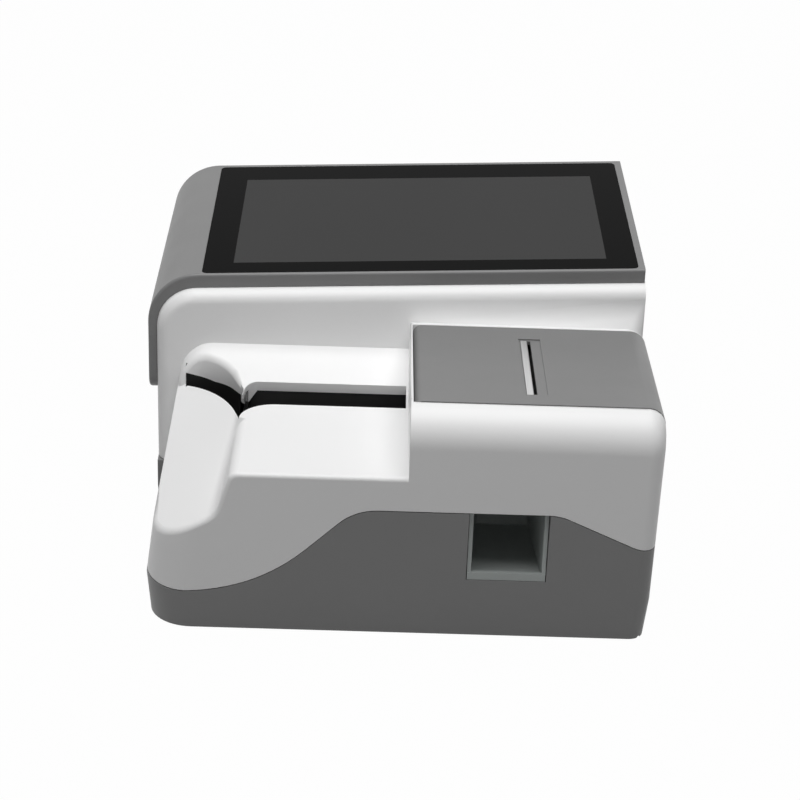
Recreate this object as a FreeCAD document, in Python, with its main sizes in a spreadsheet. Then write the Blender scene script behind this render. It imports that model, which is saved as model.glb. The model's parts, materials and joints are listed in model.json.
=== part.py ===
import FreeCAD, Part
import math
import os
import re
import Sketcher
from FreeCAD import Placement, Rotation, Vector

# A bench-top strip analyser: a grey base, a white upper housing with a loading scoop,
# a strip trench and a printer block, and a grey screen cover sloping at the rear.
# Modelling frame: x to the right, y to the rear from the front seam, z up from the bench.

SIZES = [
    # outer housing
    ("half_width", 126.0, "half of the width of the front body"),
    ("foot_stand", 1.5, "height of the base's underside above the bench"),
    ("bevel_height", 21.5, "height of the slightly drawn-in foot of the base"),
    ("bevel_in", 1.7, "how far the foot of the base is drawn in"),
    ("front_base", 7.1, "y of the front plane at bench height"),
    ("front_lean", 0.1, "how far the front leans forward for each mm of height"),
    ("side_lean", 0.13, "how far the left side leans inward for each mm of height"),
    ("rear_bulge", 4.0, "how far the rear section stands out at the left"),
    ("wall_y", 120.0, "y of the upright wall below the screen"),
    ("body_back", 277.0, "y of the back wall"),
    ("front_left_round", 22.0, "plan radius of the front left corner"),
    ("front_right_round", 8.0, "plan radius of the front right corner"),
    ("rear_round", 12.0, "plan radius of the rear corners"),
    ("wall", 2.5, "thickness of the moulded housings"),
    ("floor", 3.0, "thickness of the base's floor"),
    # seam between base and upper housing
    ("seam_gap", 0.5, "open line between base and upper housing"),
    ("seam_left", 22.3, "height of the seam at the front left"),
    ("seam_left_x", -72.8, "x where the seam starts to climb"),
    ("seam_top", 73.2, "height of the seam's flat top at the front"),
    ("seam_top_x", -21.9, "x where the seam reaches its flat top"),
    ("seam_drop_x", 77.5, "x where the seam starts to fall"),
    ("seam_right", 54.3, "height of the seam at the front right"),
    ("seam_right_x", 118.0, "x where the seam has fallen"),
    ("seam_back", 58.0, "height of the straight seam at the back"),
    # deck, block and rear section
    ("deck_top", 92.1, "height of the flat deck in front of the trench"),
    ("deck_edge_round", 3.0, "radius of the deck's front edge"),
    ("rear_deck_top", 96.5, "height of the trench's rear lip"),
    ("rear_deck_angle", 25.0, "slope of the deck behind the trench, degrees"),
    ("block_left", 3.5, "x of the printer block's left side"),
    ("block_top", 127.3, "height of the printer block"),
    ("block_flat_back", 107.0, "y where the block's top starts to fall"),
    ("block_back_angle", 20.0, "slope behind the block's flat top, degrees"),
    ("block_front_round", 17.8, "radius of the block's front top edge"),
    ("block_side_round", 9.0, "radius of the block's right top edge"),
    ("rear_top_right", 145.8, "height of the rear section's front at the right"),
    ("rear_top_left", 134.2, "height of the rear section's front at the left"),
    ("rear_rise", 3.38, "rise of the rear section towards the back, degrees"),
    ("rear_shoulder", 22.2, "radius of the rear section's left shoulder"),
    ("nose_round", 6.8, "radius round the top of the upright wall"),
    # trench, scoop and mouth
    ("trench_front", 78.3, "y of the trench's front side"),
    ("trench_back", 96.3, "y of the trench's rear side"),
    ("trench_right", 2.3, "x of the trench's right end"),
    ("trench_flange", 5.0, "height of the flange below the trench's rear lip"),
    ("deck_left", -82.3, "x of the deck's left edge"),
    ("deck_corner", 18.0, "radius of the deck's rear left corner"),
    ("mouth_height", 6.5, "height of the mouth at the foot of the scoop's wall"),
    ("scoop_back", 111.0, "y of the scoop's rear wall"),
    ("scoop_end", -115.0, "x of the scoop's left end"),
    # screen cover and screen
    ("cover_front", 126.8, "y of the cover's front"),
    ("cover_back", 279.5, "y of the cover's back"),
    ("cover_overhang", 8.8, "how far the cover stands out past the front body at the left"),
    ("cover_rim", 0.4, "how far the cover stays in from the right side"),
    ("cover_thick", 7.4, "thickness of the cover's top"),
    ("cover_skirt", 4.6, "thickness of the cover's side skirt"),
    ("cover_fit", 0.2, "open space between cover and upper housing"),
    ("cover_skirt_foot", 75.4, "height of the skirt's lower edge at the front"),
    ("cover_edge_round", 1.5, "radius of the cover's outer front edges"),
    ("glass_length", 228.7, "length of the glass"),
    ("glass_depth", 148.5, "depth of the glass, front to back"),
    ("glass_thick", 1.8, "thickness of the glass"),
    ("glass_fit", 0.15, "open line round the glass"),
    ("glass_round", 3.0, "corner radius of the glass"),
    ("glass_x", 7.65, "x of the glass's centre"),
    ("glass_y", 202.45, "y of the glass's centre"),
    ("panel_length", 205.0, "length of the display panel"),
    ("panel_depth", 124.0, "depth of the display panel"),
    ("panel_thick", 4.4, "thickness of the display panel"),
    # printer
    ("lid_left", 4.8, "x of the printer lid's left edge"),
    ("lid_front", 10.8, "y of the printer lid's front edge"),
    ("lid_back", 105.6, "y of the printer lid's back edge"),
    ("lid_foot", 113.0, "height of the lid's lower edge on the right side"),
    ("lid_gap", 0.3, "open line round the lid"),
    ("lid_roll", 4.5, "radius of the lid's rolled hinge edge"),
    ("hinge_pin_radius", 1.5, "radius of the lid's hinge pins"),
    ("hinge_pin_hold", 3.2, "length of a hinge pin inside the lid"),
    ("running_fit", 0.05, "radial clearance of turning pieces"),
    ("slot_x", 63.8, "x of the paper slot's centre"),
    ("slot_wide", 1.6, "width of the paper slot"),
    ("slot_front", 23.5, "y of the paper slot's front end"),
    ("slot_back", 89.5, "y of the paper slot's back end"),
    ("tear_bar_wide", 3.6, "width of the tear bar"),
    ("tear_bar_thick", 0.8, "thickness of the tear bar"),
    ("well_left", 50.0, "x of the printer well's left side"),
    ("well_right", 120.0, "x of the printer well's right side"),
    ("well_floor", 91.8, "height of the printer well's underside"),
    ("well_wall", 2.0, "thickness of the printer well"),
    ("flange_thick", 2.0, "thickness of the printer frame's flange"),
    ("roll_x", 100.0, "x of the paper roll's axis"),
    ("roll_radius", 14.0, "radius of the paper roll"),
    ("roll_core", 6.0, "radius of the hole through the paper roll"),
    ("roll_length", 57.0, "length of the paper roll"),
    ("platen_radius", 5.0, "radius of the rubber platen roller"),
    ("platen_shaft", 2.0, "radius of the platen roller's shaft"),
    # strip bin
    ("bin_left", 33.5, "x of the bin opening's left side"),
    ("bin_right", 73.0, "x of the bin opening's right side"),
    ("bin_foot", 34.4, "height of the bin opening's lower edge"),
    ("bin_fit", 0.4, "open line round the bin at each side"),
    ("bin_wall", 1.6, "thickness of the bin"),
    ("bin_depth", 58.0, "length of the bin, front to back"),
    ("bin_taper", 4.0, "how far each side of the bin draws in towards the back"),
    ("bin_top", 71.5, "height of the bin's sides"),
    ("bay_wall", 2.0, "thickness of the bin bay's walls"),
    # strip transport
    ("channel_floor", 70.4, "height of the channel's underside"),
    ("channel_thick", 1.6, "thickness of the channel"),
    ("channel_right", 118.0, "x of the channel's right end"),
    ("tray_length", 78.0, "length of the strip tray"),
    ("tray_width", 16.0, "width of the strip tray"),
    ("tray_left", -76.0, "x of the strip tray's left end"),
    ("tray_height", 7.8, "height of the strip tray"),
    ("tray_travel", 80.0, "travel of the strip tray"),
    ("tray_lift", 0.2, "space between tray and channel floor"),
    ("lug_length", 10.0, "length of the tray's belt lug"),
    ("lug_width", 4.0, "width of the tray's belt lug"),
    ("lug_from_left", 46.0, "distance of the lug from the tray's left end"),
    ("pulley_radius", 6.37, "radius of the pulleys under the belt"),
    ("pulley_width", 7.0, "width of the pulleys between their flanges"),
    ("pulley_z", 62.0, "height of the pulleys' axes"),
    ("drive_x", -62.0, "x of the drive pulley's axis"),
    ("idler_x", 104.0, "x of the idler pulley's axis"),
    ("belt_thick", 1.3, "thickness of the timing belt"),
    ("belt_width", 6.0, "width of the timing belt"),
    ("shaft_radius", 2.5, "radius of the motor's shaft"),
    ("axle_radius", 2.0, "radius of the idler's axle"),
    ("motor_side", 35.0, "side of the stepper motor"),
    ("motor_length", 26.0, "length of the stepper motor"),
    ("bracket_y", 99.2, "y of the brackets' front faces"),
    ("bracket_thick", 1.6, "thickness of the brackets"),
    # optics and electronics
    ("head_left", 14.0, "x of the optical head's left side"),
    ("head_length", 32.0, "length of the optical head"),
    ("head_height", 22.0, "height of the optical head"),
    ("board_left", -100.0, "x of the main board's left side"),
    ("board_length", 120.0, "length of the main board"),
    ("board_front", 130.0, "y of the main board's front edge"),
    ("board_depth", 110.0, "depth of the main board"),
    ("board_thick", 1.6, "thickness of the main board"),
    ("standoff", 6.0, "height of the board's standoffs"),
    ("port_z", 24.0, "height of the sockets at the back"),
    ("inlet_x", 85.0, "x of the power inlet's centre"),
    ("switch_x", 50.0, "x of the power switch's centre"),
    ("usb_x", -20.0, "x of the small data socket's centre"),
    ("lan_x", -50.0, "x of the network socket's centre"),
    # fastening
    ("foot_radius", 8.0, "radius of the rubber feet"),
    ("foot_sunk", 1.0, "depth of the feet's recesses"),
    ("foot_in_x", 20.0, "distance of the feet from the body's sides"),
    ("foot_in_y", 24.0, "distance of the feet from the body's front and back"),
    ("screw_radius", 1.5, "radius of the housing screws"),
    ("screw_head", 3.0, "radius of the screw heads"),
    ("screw_length", 36.0, "length of the housing screws"),
    ("post_radius", 4.5, "radius of the screw posts"),
    ("post_split", 31.0, "height where the lower posts meet the upper posts"),
]

doc = FreeCAD.newDocument("analyser")
sheet = doc.addObject("Spreadsheet::Sheet", "Sizes")
for row, (alias, value, meaning) in enumerate(SIZES, start=1):
    sheet.set("A%d" % row, meaning)
    sheet.set("B%d" % row, str(value))
    sheet.setAlias("B%d" % row, alias)
doc.recompute()
NAMES = {alias for alias, value, meaning in SIZES}
SHIFT_X = "cover_overhang / 2"
SHIFT_Y = "-(cover_back + front_base - front_lean * (block_top - block_front_round)) / 2"
NODES = []


class Values:
    """The sheet's sizes as plain numbers, for the moulded shapes."""


v = Values()
for alias in NAMES:
    setattr(v, alias, float(sheet.get(alias)))


def bound(text):
    """An expression in which each size name points at its cell."""
    return re.sub(r"[a-z][a-z_]*", lambda m: ("Sizes." if m.group(0) in NAMES else "") + m.group(0), text)


def keep(item, node):
    """Name an object as a finished piece and move it to the object's own origin."""
    item.Label = node
    have = dict(item.ExpressionEngine)
    for axis, text in (("x", SHIFT_X), ("y", SHIFT_Y)):
        prop = "Placement.Base." + axis
        old = have.get("." + prop, have.get(prop, ""))
        item.setExpression(prop, (old + " + " if old else "") + bound(text))
    NODES.append(item)
    return item


def block(name, xs, ys, zs):
    """A box between two x, two y and two z positions, each an expression."""
    item = doc.addObject("Part::Box", name)
    for axis, side, (low, high) in zip("xyz", ("Length", "Width", "Height"), (xs, ys, zs)):
        item.setExpression("Placement.Base." + axis, bound(low))
        item.setExpression(side, bound("(%s) - (%s)" % (high, low)))
    return item


TURNS = {
    "x": Rotation(Vector(0, 1, 0), 90),
    "y": Rotation(Vector(1, 0, 0), -90),
    "z": Rotation(),
}


def rod(name, along, radius, start, length):
    """A cylinder along an axis from a start point."""
    item = doc.addObject("Part::Cylinder", name)
    item.Placement = Placement(Vector(), TURNS[along])
    item.setExpression("Radius", bound(radius))
    item.setExpression("Height", bound(length))
    for axis, text in zip("xyz", start):
        item.setExpression("Placement.Base." + axis, bound(text))
    return item


def fuse(name, items):
    item = doc.addObject("Part::MultiFuse", name)
    item.Shapes = items
    return item


def cut(name, base, tools):
    item = doc.addObject("Part::Cut", name)
    item.Base = base
    item.Tool = tools[0] if len(tools) == 1 else fuse(name + "_tools", tools)
    return item


def moulded(node, shape):
    """A piece whose free-form shape was worked out from the sheet's sizes."""
    item = doc.addObject("Part::Feature", node)
    item.Shape = shape
    return keep(item, node)


# Shapes of the moulded housings


def rounded(points, radii):
    """A closed wire through points in one plane, each corner rounded to its radius."""
    starts, ends, arcs = [], [], []
    count = len(points)
    for i, point in enumerate(points):
        if not radii[i]:
            starts.append(point)
            ends.append(point)
            arcs.append(None)
            continue
        before = (points[i - 1] - point).normalize()
        after = (points[(i + 1) % count] - point).normalize()
        angle = before.getAngle(after)
        reach = radii[i] / math.tan(angle / 2)
        middle = (before + after).normalize()
        centre = point + middle * (radii[i] / math.sin(angle / 2))
        starts.append(point + before * reach)
        ends.append(point + after * reach)
        arcs.append(Part.Arc(starts[-1], centre - middle * radii[i], ends[-1]).toShape())
    edges = []
    for i in range(count):
        if arcs[i]:
            edges.append(arcs[i])
        j = (i + 1) % count
        if (starts[j] - ends[i]).Length > 1e-6:
            edges.append(Part.LineSegment(ends[i], starts[j]).toShape())
    return Part.Wire(edges)


def prism(points, radii, along):
    return Part.Face(rounded(points, radii)).extrude(along)


def in_xy(pairs, z):
    return [Vector(x, y, z) for x, y in pairs]


def in_xz(pairs, y):
    return [Vector(x, y, z) for x, z in pairs]


def in_yz(pairs, x):
    return [Vector(x, y, z) for y, z in pairs]


def box_between(low, high):
    size = Vector(*high) - Vector(*low)
    return Part.makeBox(size.x, size.y, size.z, Vector(*low))


def middle_of(edge):
    return edge.valueAt((edge.FirstParameter + edge.LastParameter) / 2)


def front_y(z):
    return v.front_base - v.front_lean * z


bevel_z = v.foot_stand + v.bevel_height


def outline(z, inset):
    """Plan outline of the base at one height."""
    drawn = v.bevel_in * max(0.0, (bevel_z - z) / v.bevel_height)
    left = -v.half_width + drawn + v.side_lean * max(0.0, z - bevel_z) + inset
    rear_left = -v.half_width - v.rear_bulge + drawn + inset
    right = v.half_width - drawn - inset
    front = front_y(z) + inset
    back = v.body_back - drawn * 0.6 - inset
    step = v.wall_y + inset
    points = [(left, front), (right, front), (right, back), (rear_left, back), (rear_left, step), (left, step)]
    rounds = [v.front_left_round, v.front_right_round, v.rear_round, v.rear_round, 0, 0]
    return rounded(in_xy(points, z), [r - inset if r else 0 for r in rounds])


def hull(low, high, inset):
    heights = [low, bevel_z, high]
    return Part.makeLoft([outline(z, inset) for z in heights], True, True)


SEAM_CORNERS = [
    (v.seam_left_x, v.seam_left, 38.0),
    (v.seam_top_x, v.seam_top, 11.5),
    (v.seam_drop_x, v.seam_top, 5.0),
    (v.seam_right_x, v.seam_right, 5.0),
]


def seam_wire(y, lift, far):
    """Closed wire at one depth: the seam's line on one side and a far level on the other."""
    share = 1 - y / v.body_back
    height = lambda z: v.seam_back + (z - v.seam_back) * share + lift
    place = lambda x, z: Vector(x, y, height(z))
    last = place(-200, v.seam_left)
    edges = []
    before = (-200, v.seam_left)
    for i, (x, z, reach) in enumerate(SEAM_CORNERS):
        after = SEAM_CORNERS[i + 1][:2] if i + 1 < len(SEAM_CORNERS) else (200, v.seam_right)
        back_run = math.hypot(before[0] - x, before[1] - z)
        on_run = math.hypot(after[0] - x, after[1] - z)
        start = place(x + (before[0] - x) * reach / back_run, z + (before[1] - z) * reach / back_run)
        end = place(x + (after[0] - x) * reach / on_run, z + (after[1] - z) * reach / on_run)
        edges.append(Part.LineSegment(last, start).toShape())
        curve = Part.BezierCurve()
        curve.setPoles([start, place(x, z), end])
        edges.append(curve.toShape())
        last = end
        before = (x, z)
    finish = place(200, v.seam_right)
    corners = [last, finish, Vector(200, y, far), Vector(-200, y, far), place(-200, v.seam_left)]
    for a, b in zip(corners, corners[1:]):
        edges.append(Part.LineSegment(a, b).toShape())
    return Part.Wire(edges)


def seam_side(lift, far):
    """Everything on one side of the seam."""
    wires = [seam_wire(y, lift, far) for y in (-60.0, v.body_back + 30.0)]
    return Part.makeLoft(wires, True, True)


slope = math.tan(math.radians(v.rear_deck_angle))


def rear_deck_z(y):
    return v.rear_deck_top + (y - v.trench_back) * slope


def low_front(inset):
    """The deck, the slope behind it and the leaning left side."""
    top = v.deck_top - inset
    fall = inset / math.cos(math.radians(v.rear_deck_angle))
    back = v.wall_y + 6
    meet = v.trench_back - (v.rear_deck_top - fall - top) / slope
    profile = [
        (front_y(v.foot_stand) + inset, v.foot_stand),
        (front_y(top) + inset, top),
        (meet, top),
        (back, rear_deck_z(back) - fall),
        (back, v.foot_stand),
    ]
    body = prism(in_yz(profile, -150), [0] * 5, Vector(160, 0, 0))
    lean_at = lambda z: -v.half_width + inset + v.side_lean * (z - bevel_z)
    outside = [(-200, -50), (lean_at(-50), -50), (lean_at(250), 250), (-200, 250)]
    body = body.cut(prism(in_xz(outside, -60), [0] * 4, Vector(0, 260, 0)))
    corner = [e for e in body.Edges
              if middle_of(e).x < -110 and middle_of(e).y < 15 and 20 < middle_of(e).z < 80]
    body = body.makeFillet(v.front_left_round - inset, corner)
    if inset:
        return body
    edge = [e for e in body.Edges if abs(middle_of(e).z - top) < 0.01 and middle_of(e).y < 2
            and middle_of(e).x > -100]
    return body.makeFillet(v.deck_edge_round, edge)


FRONT_SCOOP = [(-150, 79), (-130, 65.6), (-119.5, 58.2), (-111, 54.6), (-100, 57.2), (-91.5, 63.8),
               (-86.3, 73.5), (-83.6, 83.5), (-81.5, 95), (-79.5, 112)]
BACK_SCOOP = [(-150, 115.6), (-130, 102.2), (-118.5, 94.2), (-109.5, 88.0), (-100, 84.2), (-92, 83.0),
              (-86.8, 83.6), (-83.8, 87.2), (-81.6, 96), (-79.5, 112)]


def scoop_wire(y, sink, lift):
    """Section of the open scoop at one depth, grown outward by sink and raised by lift."""
    share = y / 110.0
    pairs = [(f[0] + (b[0] - f[0]) * share, f[1] + (b[1] - f[1]) * share)
             for f, b in zip(FRONT_SCOOP, BACK_SCOOP)]
    moved = []
    for i, (x, z) in enumerate(pairs):
        ahead = pairs[min(i + 1, len(pairs) - 1)]
        behind = pairs[max(i - 1, 0)]
        run = math.hypot(ahead[0] - behind[0], ahead[1] - behind[1])
        out_x = (ahead[1] - behind[1]) / run
        out_z = -(ahead[0] - behind[0]) / run
        moved.append((x + out_x * sink, z + out_z * sink + lift))
    curve = Part.BSplineCurve()
    curve.interpolate(in_xz(moved, y))
    corners = in_xz([moved[-1], (moved[-1][0], 230), (moved[0][0], 230), moved[0]], y)
    edges = [curve.toShape()]
    edges += [Part.LineSegment(a, b).toShape() for a, b in zip(corners, corners[1:])]
    return Part.Wire(edges)


def above_scoop(sink, lift=0.0):
    return Part.makeLoft([scoop_wire(-30, sink, lift), scoop_wire(122, sink, lift)], True, True)


def scoop_plan(grow, low, high):
    """Prism over the scoop's plan, grown outward at the back and the ends."""
    left = v.deck_left + grow
    ridge = v.trench_front + 4.5
    points = [(-160, -60), (-60, -60), (-60, 58 + grow), (left, 58 + grow), (left, ridge + grow),
              (left - 2.6, ridge + grow), (left - 3.2, v.scoop_back + grow),
              (v.scoop_end - grow, v.scoop_back + grow), (v.scoop_end - grow, 99 + grow), (-160, 99 + grow)]
    rounds = [0, 0, 0, 0, 0, 0, 20 + grow, 8 + grow, max(3 - grow, 0.5), 0]
    return prism(in_xy(points, low), rounds, Vector(0, 0, high - low))


def filleted(body, rounds):
    """Round several edges, each with its own radius, through a fillet feature."""
    base = doc.addObject("Part::Feature", "blank")
    base.Shape = body
    item = doc.addObject("Part::Fillet", "blank_rounded")
    item.Base = base
    item.Edges = rounds
    doc.recompute()
    shape = item.Shape.copy()
    doc.removeObject(item.Name)
    doc.removeObject(base.Name)
    return shape


def printer_block(inset):
    top = v.block_top - inset
    fall = inset / math.cos(math.radians(v.block_back_angle))
    back_slope = math.tan(math.radians(v.block_back_angle))
    back = v.wall_y + 6
    bend = v.block_flat_back - (fall - inset) / back_slope
    profile = [
        (front_y(v.foot_stand) + inset, v.foot_stand),
        (front_y(top) + inset, top),
        (bend, top),
        (back, v.block_top - fall - (back - v.block_flat_back) * back_slope),
        (back, v.foot_stand),
    ]
    left = v.block_left + inset
    right = v.half_width - inset
    body = prism(in_yz(profile, left), [0] * 5, Vector(right - left, 0, 0))
    rounds = []
    for number, edge in enumerate(body.Edges, start=1):
        spot = middle_of(edge)
        if abs(spot.z - top) < 0.01 and spot.y < 5:
            rounds.append((number, v.block_front_round - inset, v.block_front_round - inset))
        elif spot.x > right - 0.01 and abs(spot.z - top) < 0.01:
            rounds.append((number, v.block_side_round - inset, v.block_side_round - inset))
        elif spot.x > right - 0.01 and spot.z > top - 10 and spot.y > v.block_flat_back:
            rounds.append((number, v.block_side_round - inset, v.block_side_round - inset))
        elif spot.x > right - 0.01 and spot.y < 5:
            rounds.append((number, v.front_right_round - inset, v.front_right_round - inset))
    return filleted(body, rounds)


rise = math.tan(math.radians(v.rear_rise))


def rear_section(inset):
    """The tall rear section under the screen, its top rising to the right and to the back."""
    left = -v.half_width - v.rear_bulge + inset
    right = v.half_width - inset
    front = v.wall_y + inset
    lower = inset * (1 + rise)
    ends = [(right, -10), (right, v.rear_top_right - lower), (left, v.rear_top_left - lower), (left, -10)]
    depth = v.body_back - inset - front
    body = prism(in_xz(ends, front), [0, 0, v.rear_shoulder - inset, 0], Vector(0, depth, depth * rise))
    back = [e for e in body.Edges if abs(middle_of(e).y - (v.body_back - inset)) < 0.01]
    upright = [e for e in back if abs(e.tangentAt(e.FirstParameter).x) < 0.01]
    body = body.makeFillet(v.rear_round - inset, upright)
    nose = [e for e in body.Edges if abs(middle_of(e).y - front) < 0.01
            and middle_of(e).x < right - 1 and middle_of(e).z > 0]
    return body.makeFillet(max(v.nose_round - inset, 0.5), nose)


def housing_form(inset):
    """The upper housing's closed outer form, or its hollow when inset by the wall."""
    scoop = above_scoop(inset).common(scoop_plan(inset, 0, 300))
    return low_front(inset).cut(scoop).fuse([printer_block(inset), rear_section(inset)])


foot_x = v.half_width - v.foot_in_x
foot_spots = [(x, y) for x in (-foot_x, foot_x) for y in (v.foot_in_y, v.body_back - v.foot_in_y)]
post_spots = [(-v.half_width + 26, 38.0), (v.half_width - 6.5, 11.5),
              (-v.half_width + 12, v.body_back - 56), (v.half_width - 12, v.body_back - 56)]
post_tops = [200, v.lid_foot - 3, 200, 200]
floor_top = v.foot_stand + v.floor


def make_base():
    """The grey base: a tub with the bin bay, screw posts, board standoffs and rear sockets."""
    below = seam_side(-v.seam_gap / 2, -60)
    tub = hull(v.foot_stand, 90, 0).cut(hull(floor_top, 95, v.wall))
    bay_left = v.bin_left - v.bay_wall
    bay_right = v.bin_right + v.bay_wall
    bay_back = v.bin_depth + 10
    bay = box_between((bay_left, front_y(60), v.bin_foot - v.bay_wall), (bay_right, bay_back, v.bin_top + 0.5))
    bay = bay.cut(box_between((v.bin_left, -20, v.bin_foot), (v.bin_right, bay_back - v.bay_wall, 90)))
    bay = bay.common(hull(v.foot_stand, 90, 1.0))
    posts = []
    for x, y in post_spots:
        posts.append(Part.makeCylinder(v.post_radius, v.post_split - v.foot_stand - 0.1, Vector(x, y, v.foot_stand)))
    for x in (v.board_left + 5, v.board_left + v.board_length - 5):
        for y in (v.board_front + 5, v.board_front + v.board_depth - 5):
            posts.append(Part.makeCylinder(3.0, v.standoff + 1, Vector(x, y, floor_top - 1)))
    inside = hull(v.foot_stand, 90, 0.5)
    solid = tub.fuse([bay] + [post.common(inside) for post in posts]).common(below)
    holes = [box_between((v.bin_left, -20, v.bin_foot), (v.bin_right, 20, 95))]
    for x, y in foot_spots:
        holes.append(Part.makeCylinder(v.foot_radius + 0.1, v.foot_sunk, Vector(x, y, v.foot_stand)))
    for x, y in post_spots:
        holes.append(Part.makeCylinder(v.screw_radius + 0.2, 90, Vector(x, y, 0)))
        holes.append(Part.makeCylinder(v.screw_head + 0.4, 2.6, Vector(x, y, v.foot_stand)))
    back = v.body_back
    for x, wide, high in ((v.inlet_x, 27.4, 20.4), (v.switch_x, 14.0, 21.4),
                          (v.usb_x, 14.2, 7.2), (v.lan_x, 16.2, 13.6)):
        holes.append(box_between((x - wide / 2, back - 12, v.port_z - high / 2),
                                 (x + wide / 2, back + 5, v.port_z + high / 2)))
    return solid.cut(holes)


lid_hinge_x = v.lid_left + v.lid_roll
lid_hinge_z = v.block_top - v.lid_roll


def make_upper():
    """The white upper housing, a shell of even thickness with its openings."""
    outer = housing_form(0)
    inner = housing_form(v.wall)
    skin = outer.cut(inner)
    # flange below the rear lip of the trench
    flange = box_between((v.deck_left + 8, v.trench_back, v.rear_deck_top - v.trench_flange),
                         (v.trench_right, v.trench_back + 1.5, v.rear_deck_top))
    posts = []
    for (x, y), top in zip(post_spots, post_tops):
        posts.append(Part.makeCylinder(v.post_radius, top - v.post_split, Vector(x, y, v.post_split)))
    # bearings of the lid's hinge pins
    hold = 2.4
    ears = [box_between((lid_hinge_x - 3.3, v.lid_front - v.lid_gap - hold, lid_hinge_z - 3.6),
                        (lid_hinge_x + 3.3, v.lid_front - v.lid_gap, v.block_top)),
            box_between((lid_hinge_x - 3.3, v.lid_back + v.lid_gap, lid_hinge_z - 3.6),
                        (lid_hinge_x + 3.3, v.lid_back + v.lid_gap + hold, v.block_top))]
    added = Part.makeCompound([flange] + posts + ears).common(outer)
    solid = skin.fuse(added.Solids)
    for x, y in post_spots:
        solid = solid.cut(Part.makeCylinder(v.screw_radius, 14, Vector(x, y, v.post_split - 1)))
    # trench through the deck, with the throat beside the scoop
    left = v.deck_left
    corner = (left + v.deck_corner, v.trench_front - v.deck_corner)
    bend = math.sqrt(0.5) * v.deck_corner
    arc = Part.Arc(Vector(corner[0], v.trench_front, 70), Vector(corner[0] - bend, corner[1] + bend, 70),
                   Vector(left, corner[1], 70)).toShape()
    path = [(left, corner[1]), (left - 1.3, corner[1] + 1.5), (left - 2.6, v.trench_front + 4.5),
            (left + 0.4, v.trench_back - 4.0), (left + 7, v.trench_back), (v.trench_right, v.trench_back),
            (v.trench_right, v.trench_front), (corner[0], v.trench_front)]
    points = in_xy(path, 70)
    edges = [Part.LineSegment(a, b).toShape() for a, b in zip(points, points[1:])]
    trench = Part.Face(Part.Wire([arc] + edges)).extrude(Vector(0, 0, 60))
    # mouth along the foot of the scoop's rear wall
    ring = scoop_plan(3.0, 40, 140).cut(scoop_plan(-2.0, 30, 150))
    ring = ring.common(box_between((v.scoop_end + 1.5, v.trench_front + 4.5, 40), (left - 2.0, 130, 140)))
    slab = above_scoop(0, -6.0).cut(above_scoop(0, v.mouth_height))
    mouth = ring.common(slab)
    # opening for the printer lid
    gap = v.lid_gap
    front = v.lid_front - gap
    back = v.lid_back + gap
    opening = box_between((v.lid_left - gap, front, v.block_top - v.wall - 0.1), (v.half_width + 5, back, 140))
    side = box_between((v.half_width - v.wall - 0.1, front, v.lid_foot - gap), (v.half_width + 5, back, 140))
    shoulder = v.block_side_round + 1
    bend = box_between((v.half_width - shoulder, front, v.block_top - shoulder), (v.half_width + 5, back, 140))
    roll = box_between((v.lid_left - gap, front, v.block_top - 2 * v.lid_roll - gap),
                       (lid_hinge_x + v.lid_roll, back, 140))
    solid = solid.cut([trench, mouth, opening, side, bend, roll])
    for y in (v.lid_front - gap - hold, v.lid_back + gap):
        solid = solid.cut(Part.makeCylinder(v.hinge_pin_radius, hold, Vector(lid_hinge_x, y, lid_hinge_z),
                                            Vector(0, 1, 0)))
    return solid.cut(seam_side(v.seam_gap / 2, -60))


cover_left = -v.half_width - v.cover_overhang
cover_right = v.half_width - v.cover_rim
tilt_side = math.atan((v.rear_top_right - v.rear_top_left) / (2 * v.half_width + v.rear_bulge))


def cover_level(x, y):
    """Height of the rear section's top surface."""
    across = (x + v.half_width + v.rear_bulge) / (2 * v.half_width + v.rear_bulge)
    at_front = v.rear_top_left + (v.rear_top_right - v.rear_top_left) * across
    return at_front + (y - v.wall_y) * rise


def on_cover(low, high, rounds, top, deep, centre):
    """A plate let into the sloping cover, given in the cover's own tilted frame."""
    plate = prism(in_xy([low, (high[0], low[1]), high, (low[0], high[1])], top - deep), rounds,
                  Vector(0, 0, deep))
    turn = Rotation(Vector(0, 1, 0), -math.degrees(tilt_side)).multiply(Rotation(Vector(1, 0, 0), v.rear_rise))
    return plate.transformed(Placement(centre, turn).toMatrix(), True)


glass_centre = Vector(v.glass_x, v.glass_y, cover_level(v.glass_x, v.glass_y) + v.cover_fit + v.cover_thick)


def glass_plate(grow, deep, over=0.0):
    """The glass, or its recess when grown, starting a little above the cover where told to."""
    half_x = v.glass_length / 2 + grow
    half_y = v.glass_depth / 2 + grow
    rounds = [v.glass_round + grow] * 4
    return on_cover((-half_x, -half_y), (half_x, half_y), rounds, over, deep + over, glass_centre)


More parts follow.
